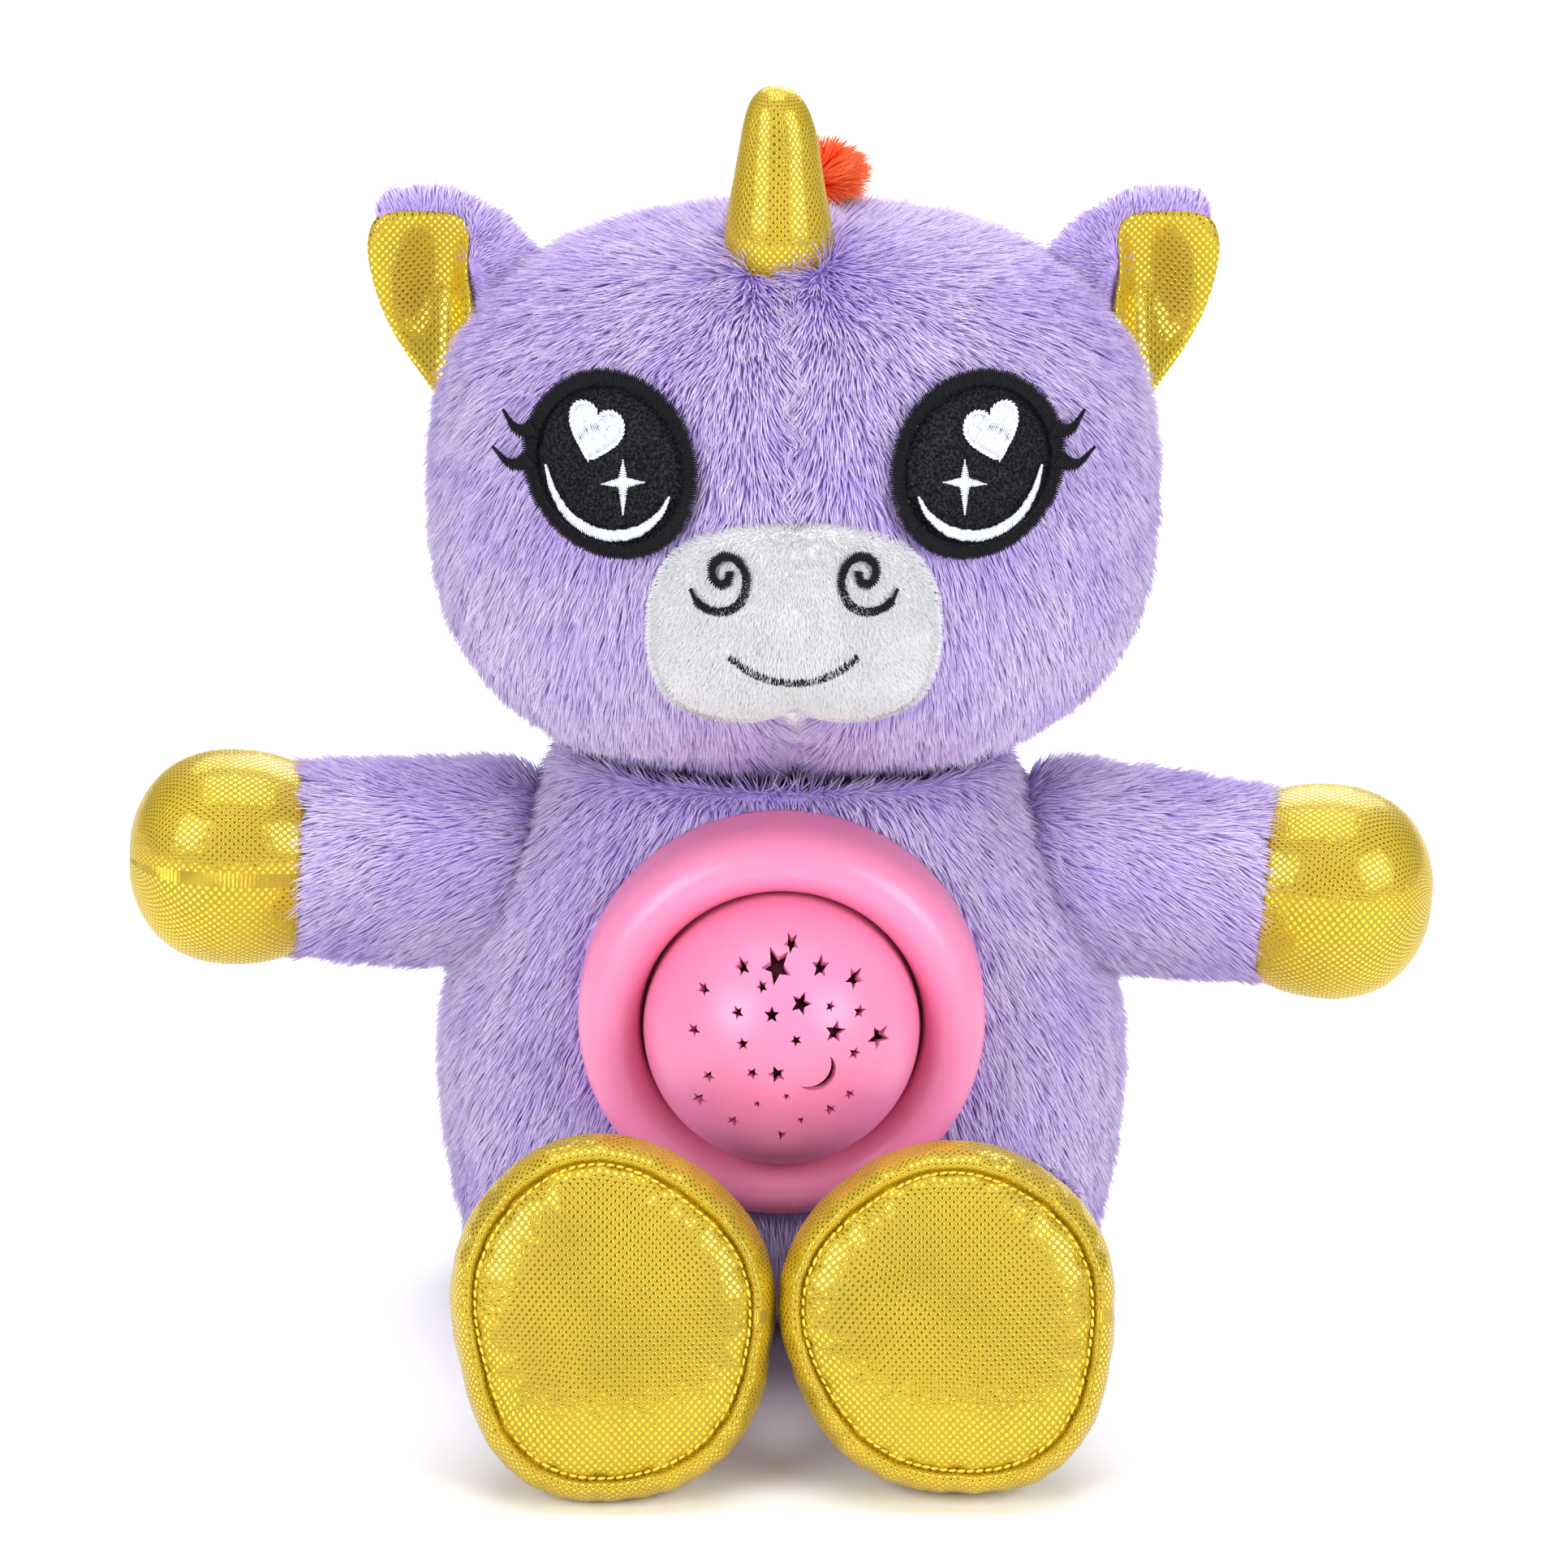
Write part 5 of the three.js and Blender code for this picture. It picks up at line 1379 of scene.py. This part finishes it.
# %% Plastic material
def plastic_material(name, colour, shade, roughness=0.36, glow=0.0):
    """Moulded plastic with a very fine spark finish and faint flow clouds."""
    material, tree, shader = new_material(name, Roughness=roughness)
    clouds = noise(tree, 30, 2).outputs["Fac"]
    tree.links.new(ramp(tree, clouds, [(0.3, shade), (0.7, colour)]), shader.inputs["Base Color"])
    spark = noise(tree, 0.35, 1).outputs["Fac"]
    bump(tree, shader, spark, 0.12, 0.05)
    if glow:
        shader.inputs["Subsurface Weight"].default_value = glow
        shader.inputs["Subsurface Scale"].default_value = 2 * MM
        shader.inputs["Subsurface Radius"].default_value = (1.0, 0.35, 0.4)
    return material


pink_plastic = plastic_material("pink plastic", (0.82, 0.245, 0.43), (0.80, 0.21, 0.39), glow=0.12)


# %% Turned ring
def turned(name, profile, sides, material, closed=True):
    """Turns a profile of (radius, y) points round the lamp's axis; a closed profile makes a ring."""
    angle = np.arange(sides) * 2 * np.pi / sides
    rings = np.array([np.stack([r * np.cos(angle), np.full(sides, y), RING[2] + r * np.sin(angle)], -1)
                      for r, y in profile])
    count = len(profile)
    faces = []
    for r in range(count if closed else count - 1):
        for k in range(sides):
            a, b = k, (k + 1) % sides
            c, d = r * sides, ((r + 1) % count) * sides
            faces.append((c + a, c + b, d + b, d + a))
    return facing_out(make_piece(name, rings.reshape(-1, 3), faces, material))


ring_front, ring_back = ring_low.y - MIDDLE[1], ring_high.y - MIDDLE[1]
MOUTH = 29.5
RING_PROFILE = [[33, ring_back], [41.4, ring_back], [41.4, -39], [42.2, -39], [42.6, -39.6], [42.7, -41],
                [42.7, -50.5],
                [42.5, -53], [41.7, -56], [40.2, -58.2], [38.2, -59.5], [35.8, ring_front],
                [33.6, -59.6], [31.7, -58.2], [30.3, -56.2], [29.7, -54], [MOUTH, -52.5], [MOUTH, -50.9],
                [30, -50.5], [33, -50.5]]
ring = turned("lamp_ring", RING_PROFILE, 128, pink_plastic)
belongs(ring, "torso", ["bezel_ring"])

# %% Star and moon outlines
dome_low, dome_high = (corner / MM - Vector(MIDDLE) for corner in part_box("projector_dome"))
DOME_ROUND = 28.9
DOME_MIDDLE = dome_low.y + DOME_ROUND
DOME_WALL = 1.8
FLANGE = 32.0
STARS = [[2, 24, 1.7], [-1, 20.5, 3.3], [-8, 20, 1.7], [8, 20, 2], [15, 17, 2], [-4, 17, 1.3],
         [-16, 15, 1.4], [4, 14, 2.3], [10, 13, 1.1], [16, 11, 1.4], [-9, 12, 1.4], [-2, 12, 1.7],
         [-18, 7, 1.4], [11, 8, 2.3], [20, 5, 2.5], [-8, 6, 1.4], [3, 7, 1.3], [15, 3, 1.4],
         [-15, -2, 1.4], [-6, 0, 1.4], [-1, 0, 2], [-17, -8, 1.7], [1, -5, 0.9], [-5, -7, 1],
         [14, -6, 1.3], [10, -9, 1.5], [-10, -12, 1.6], [4, -11, 1.1], [0, -15, 1.5]]
STAR_WAIST = 0.45


def star(x, z, size, tilt):
    """A five-pointed star on the flat front view."""
    corner = np.arange(10)
    radius = np.where(corner % 2, size * STAR_WAIST, size)
    angle = corner * np.pi / 5 + tilt
    return np.stack([x + radius * np.sin(angle), z + radius * np.cos(angle)], -1)


def crescent(x, z, radius, bite, offset, lean, steps=12):
    """A disc less a smaller disc, set off towards the lean direction."""
    cross = (radius ** 2 - bite ** 2 + offset ** 2) / (2 * offset)
    outer, inner = math.acos(cross / radius), math.acos((cross - offset) / bite)
    turn = lean + np.linspace(outer, 2 * np.pi - outer, steps)
    back = lean - np.linspace(inner, 2 * np.pi - inner, steps)[1:-1]
    rim = np.stack([radius * np.cos(turn), radius * np.sin(turn)], -1)
    hollow = np.stack([offset * math.cos(lean) + bite * np.cos(back),
                       offset * math.sin(lean) + bite * np.sin(back)], -1)
    return np.vstack([rim, hollow]) + [x, z]


def flattened(front):
    """Front-view points on the ball, as points on the flat sheet, where a distance is an angle."""
    distance = np.linalg.norm(front, axis=1, keepdims=True)
    return front / np.maximum(distance, 1e-9) * np.arcsin(np.clip(distance / DOME_ROUND, 0, 1))


def wrapped(flat, radius):
    """Points of the flat sheet, wrapped on a ball of the given radius."""
    angle = np.linalg.norm(flat, axis=1)
    front = flat / np.maximum(angle, 1e-9)[:, None] * np.sin(angle)[:, None] * radius
    return np.stack([front[:, 0], DOME_MIDDLE - np.cos(angle) * radius, RING[2] + front[:, 1]], -1)


def inside(points, outline):
    """Which flat points lie inside an outline."""
    hits = np.zeros(len(points), bool)
    for a, b in zip(outline, np.roll(outline, -1, 0)):
        rises = (a[1] > points[:, 1]) != (b[1] > points[:, 1])
        if a[1] != b[1]:
            hits ^= rises & (points[:, 0] < (b[0] - a[0]) * (points[:, 1] - a[1]) / (b[1] - a[1]) + a[0])
    return hits


# %% Dome skin
RIM_SIDES = 120
holes = [star(x, z, size, 0.5 * math.sin(7 * x + 3 * z)) for x, z, size in STARS]
holes.append(crescent(6.9, 0.3, 4.3, 4.7, 2.0, math.radians(135)))
holes = [flattened(hole) for hole in holes]
rim_turn = np.arange(RIM_SIDES) * 2 * np.pi / RIM_SIDES
rim = np.stack([np.cos(rim_turn), np.sin(rim_turn)], -1) * np.pi / 2
SHEET_STEP = 0.052
grid = np.array([[(i + 0.5 * (j % 2)) * SHEET_STEP, j * SHEET_STEP * 0.87]
                 for i in range(-32, 33) for j in range(-36, 37)])
keep = np.linalg.norm(grid, axis=1) < np.pi / 2 - 0.6 * SHEET_STEP
for hole in holes:
    middle = hole.mean(0)
    grown = middle + (hole - middle) * 1.45
    keep &= ~inside(grid, grown)
loops = [rim] + holes
points = np.vstack(loops + [grid[keep]])
edges, start = [], 0
for loop in loops:
    edges += [(start + k, start + (k + 1) % len(loop)) for k in range(len(loop))]
    start += len(loop)
sheet, _, sheet_faces, *_ = delaunay_2d_cdt([Vector(p) for p in points.tolist()], edges, [], 1, 1e-7)
sheet = np.array([v[:] for v in sheet])
sheet_faces = np.array([face for face in sheet_faces if len(face) == 3])
centres = sheet[sheet_faces].mean(1)
open_here = np.zeros(len(centres), bool)
for hole in holes:
    open_here |= inside(centres, hole)
sheet_faces = sheet_faces[~open_here]
turned_over = np.cross(sheet[sheet_faces[:, 1]] - sheet[sheet_faces[:, 0]],
                       sheet[sheet_faces[:, 2]] - sheet[sheet_faces[:, 0]]) < 0
sheet_faces[turned_over] = sheet_faces[turned_over][:, ::-1]

# Both skins, then walls along every free edge: the holes close there, and the rim is left for the flange.
count = len(sheet)
faces = sheet_faces.tolist() + (sheet_faces[:, ::-1] + count).tolist()
directed = {(int(a), int(b)) for f in sheet_faces for a, b in zip(f, np.roll(f, -1))}
free = [(a, b) for a, b in directed if (b, a) not in directed]
at_rim = np.linalg.norm(sheet, axis=1) > np.pi / 2 - 1e-4
walls = [(b, a, a + count, b + count) for a, b in free if not (at_rim[a] and at_rim[b])]
rim_loop = sorted(np.flatnonzero(at_rim), key=lambda i: math.atan2(sheet[i][1], sheet[i][0]))
rim_turn = np.array([math.atan2(sheet[i][1], sheet[i][0]) for i in rim_loop])
skirt = [(DOME_ROUND, -51.6), (DOME_ROUND + 0.3, -50.4), (DOME_ROUND + 0.8, -50.1), (FLANGE - 0.2, -50.1),
         (FLANGE, -49.9), (FLANGE, -48.3), (FLANGE - 0.2, dome_high.y), (DOME_ROUND - DOME_WALL, dome_high.y)]
dome_points = [wrapped(sheet, DOME_ROUND), wrapped(sheet, DOME_ROUND - DOME_WALL)]
rows_of_rim = [rim_loop]
start = 2 * count
for radius, y in skirt:
    dome_points.append(np.stack([radius * np.cos(rim_turn), np.full(len(rim_turn), y),
                                 RING[2] + radius * np.sin(rim_turn)], -1))
    rows_of_rim.append(list(range(start, start + len(rim_turn))))
    start += len(rim_turn)
rows_of_rim.append([i + count for i in rim_loop])
for upper, lower in zip(rows_of_rim[:-1], rows_of_rim[1:]):
    for k in range(len(upper)):
        nxt = (k + 1) % len(upper)
        walls.append((upper[k], lower[k], lower[nxt], upper[nxt]))
dome = facing_out(make_piece("star_dome", np.vstack(dome_points), faces + walls, pink_plastic))
dome.data.set_sharp_from_angle(angle=math.radians(40))
belongs(dome, "dome", ["projector_dome"])
print("star_dome:", len(dome.data.polygons), "faces,", len(holes), "holes")

# %% [markdown]
# ## Inside and behind
#
# The parts that already have their true shape stay as solids and get a finish of their own: the white
# housing, the clear liner behind the stars, the lamp board, springs, screws, the battery box with its
# cells, and the wadding. Each finish is one small node tree.


# %% Finishes for the solids
def metal_material(name, colour):
    """Nickel plating with fine drawing marks."""
    material, tree, shader = new_material(name, Metallic=1.0, Roughness=0.28)
    marks = noise(tree, 2, 3, (1, 12, 1)).outputs["Fac"]
    tree.links.new(ramp(tree, marks, [(0.3, [0.8 * c for c in colour]), (0.7, colour)]),
                   shader.inputs["Base Color"])
    bump(tree, shader, marks, 0.15, 0.05)
    return material


def wadding_material():
    """Polyester wadding: curly white fibres."""
    material, tree, shader = new_material("wadding", Roughness=1.0, Sheen_Weight=0.3)
    fibres = noise(tree, 2.2, 6).outputs["Fac"]
    tree.links.new(ramp(tree, fibres, [(0.35, (0.70, 0.69, 0.66)), (0.65, (0.93, 0.92, 0.9))]),
                   shader.inputs["Base Color"])
    bump(tree, shader, fibres, 1.0, 1.5)
    return material


def board_material():
    """Green solder mask with paler tracks."""
    material, tree, shader = new_material("lamp board", Roughness=0.35)
    place = add(tree, "ShaderNodeTexCoord").outputs["Object"]
    tracks = add(tree, "ShaderNodeTexVoronoi", {"Vector": place, "Scale": 1 / (5 * MM), "Randomness": 0.6},
                 distance="MANHATTAN").outputs["Distance"]
    tree.links.new(ramp(tree, tracks, [(0.35, (0.01, 0.10, 0.04)), (0.42, (0.03, 0.24, 0.10))]),
                   shader.inputs["Base Color"])
    return material


def hook_material():
    """Hook and loop tape: rows of tiny hooks."""
    material, tree, shader = new_material("hook and loop", Roughness=0.9)
    hooks = noise(tree, 0.7, 1).outputs["Fac"]
    tree.links.new(ramp(tree, hooks, [(0.35, (0.32, 0.24, 0.44)), (0.65, (0.62, 0.54, 0.76))]),
                   shader.inputs["Base Color"])
    bump(tree, shader, hooks, 1.0, 0.6)
    return material


def cell_material():
    """A battery cell: a coloured sleeve with bare metal ends."""
    material, tree, shader = new_material("cell jacket", Roughness=0.3)
    place = add(tree, "ShaderNodeTexCoord").outputs["Object"]
    side = add(tree, "ShaderNodeSeparateXYZ", {"Vector": place}).outputs["X"]
    end = add(tree, "ShaderNodeMath", {0: side}, operation="ABSOLUTE").outputs["Value"]
    bare = add(tree, "ShaderNodeMath", {0: end, 1: 21.4 * MM}, operation="GREATER_THAN").outputs["Value"]
    tree.links.new(ramp(tree, bare, [(0.3, (0.02, 0.12, 0.36)), (0.7, (0.6, 0.6, 0.62))]),
                   shader.inputs["Base Color"])
    tree.links.new(bare, shader.inputs["Metallic"])
    return material


def clear_material():
    """The thin clear liner that keeps fingers off the lamps, coloured almost black as painted shade
    of the unlit inside seen through the stars, with a soft gloss.
    """
    material, tree, shader = new_material("smoked liner", Roughness=0.6, Specular_IOR_Level=0.1)
    shade_blotches = noise(tree, 12, 2).outputs["Fac"]
    # Painted shade: the liner is coloured almost black, for the darkness seen through the star holes.
    tree.links.new(ramp(tree, shade_blotches, [(0.3, (0.022, 0.002, 0.006)), (0.7, (0.05, 0.004, 0.012))]),
                   shader.inputs["Base Color"])
    return material


def lamp_material(name, colour):
    """A frosted lamp lens."""
    material, tree, shader = new_material(name, Roughness=0.2, Coat_Weight=0.5)
    frost = noise(tree, 1.5, 2).outputs["Fac"]
    tree.links.new(ramp(tree, frost, [(0.3, [0.7 * c for c in colour]), (0.7, colour)]),
                   shader.inputs["Base Color"])
    return material


white_plastic = plastic_material("white plastic", (0.84, 0.84, 0.85), (0.80, 0.80, 0.81), 0.45)
black_plastic = plastic_material("black plastic", (0.02, 0.02, 0.022), (0.014, 0.014, 0.016), 0.4)
nickel = metal_material("nickel", (0.78, 0.78, 0.80))
wadding = wadding_material()
FINISHES = {
    wadding: ["torso_filling", "neck_filling", "head_filling", "horn_filling", "arm_filling_left",
              "arm_filling_right", "leg_filling_left", "leg_filling_right"],
    white_plastic: ["housing_cup", "clamp_ring", "battery_box", "battery_door"],
    black_plastic: ["push_switch"],
    nickel: ["housing_screw_1", "housing_screw_2", "housing_screw_3", "housing_screw_4", "battery_door_screw",
             "dome_spring_1", "dome_spring_2", "dome_spring_3", "contact_plate_left", "contact_plate_right"],
    board_material(): ["led_board"],
    hook_material(): ["flap_hook_strip", "flap_loop_strip"],
    cell_material(): ["battery_cell_1", "battery_cell_2", "battery_cell_3"],
    clear_material(): ["clear_liner"],
    lamp_material("red lens", (0.8, 0.05, 0.05)): ["led_red"],
    lamp_material("green lens", (0.05, 0.7, 0.12)): ["led_green"],
    lamp_material("blue lens", (0.05, 0.12, 0.8)): ["led_blue"],
    plastic_material("red sleeve", (0.6, 0.02, 0.02), (0.5, 0.015, 0.015)): ["lead_red"],
    plastic_material("black sleeve", (0.02, 0.02, 0.02), (0.015, 0.015, 0.015)): ["lead_black"],
}
for material, names in FINISHES.items():
    for name in names:
        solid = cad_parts[name]
        solid.data.materials.clear()
        solid.data.materials.append(material)
print("finished solids:", sum(len(names) for names in FINISHES.values()))

# %% [markdown]
# ## The flap
#
# A plush flap covers the battery door. It hangs from its top edge and closes on hook and loop tape, so
# it is a thin pillow with rounded corners that follows the curve of the back and wears the same fur.

# %% Flap
flap_half = flap_high.x
flap_middle = np.array([0, (flap_low.z + flap_high.z) / 2])
flap_tall = (flap_high.z - flap_low.z) / 2
flap_turn = np.arange(88) * 2 * np.pi / 88
flap_box = np.stack([np.sign(np.cos(flap_turn)) * np.abs(np.cos(flap_turn)) ** 0.28 * flap_half,
                     np.sign(np.sin(flap_turn)) * np.abs(np.sin(flap_turn)) ** 0.28 * flap_tall], -1)
FLAP_LEVELS = [(0.05, 0.1), (0.4, 0.1), (0.75, 0.1), (0.95, 0.1), (1.0, 0.6), (0.99, 1.2), (0.93, 1.7),
               (0.8, 2.0),
               (0.6, 2.2), (0.4, 2.3), (0.2, 2.3), (0.05, 2.3)]
FLAP_BEND = 2.8                      # how far the side edges curve in round the back
loops = []
for part, out in FLAP_LEVELS:
    flat = flap_middle + flap_box * part
    bent = FLAP_BEND * (flat[:, 0] / flap_half) ** 2
    loops.append(np.stack([flat[:, 0], flap_low.y + out - bent, flat[:, 1]], -1))
flap = skin_over("flap_cloth", np.array(loops), lavender_backing)
spots = places(flap)
coat = np.where(spots[:, 1] + FLAP_BEND * (spots[:, 0] / flap_half) ** 2 > flap_low.y + 0.8, 1.1, 0.0)
groom(flap, [0, 0, -1.0], coat)
belongs(flap, "flap", ["back_flap"])
fur = lay_fur(flap, "flap_fur", lavender_pile, Seed=91)
belongs(fur, "flap")

# %% [markdown]
# ## The seam round each sole
#
# A sole is sewn in by hand with a thick gold thread. The stitches run round its edge in the groove
# beside the roll, one after another. The same formula that shaped the edge says where they go.

# %% Sole stitches
SEAM_WIDE, SEAM_TALL = 28.2, 30.7
for side, sign in LEFT_RIGHT:
    hip, ankle, way = leg_line(sign)
    wide_way, tall_way = across(SOLE_WAY)
    turn = np.arange(96) * 2 * np.pi / 96
    swell = np.outer(np.cos(turn), wide_way) + np.outer(np.sin(turn), tall_way)
    edge = (ankle + np.outer(np.cos(turn) * SEAM_WIDE, wide_way)
            + np.outer(np.sin(turn) * SEAM_TALL, tall_way)
            + swell * unevenness(turn, sign)[:, None] + SOLE_WAY * (SEAM_OUT + 1.6))
    ahead = np.roll(edge, -1, 0) - np.roll(edge, 1, 0)
    ring_row = (edge, ahead + swell * 0.5, np.tile(SOLE_WAY, (96, 1)), np.full(96, 1.7))
    seam = lay_stitches(f"sole_stitches_{side}", [ring_row], gold_thread, 0.7)
    belongs(seam, f"leg_{side}")
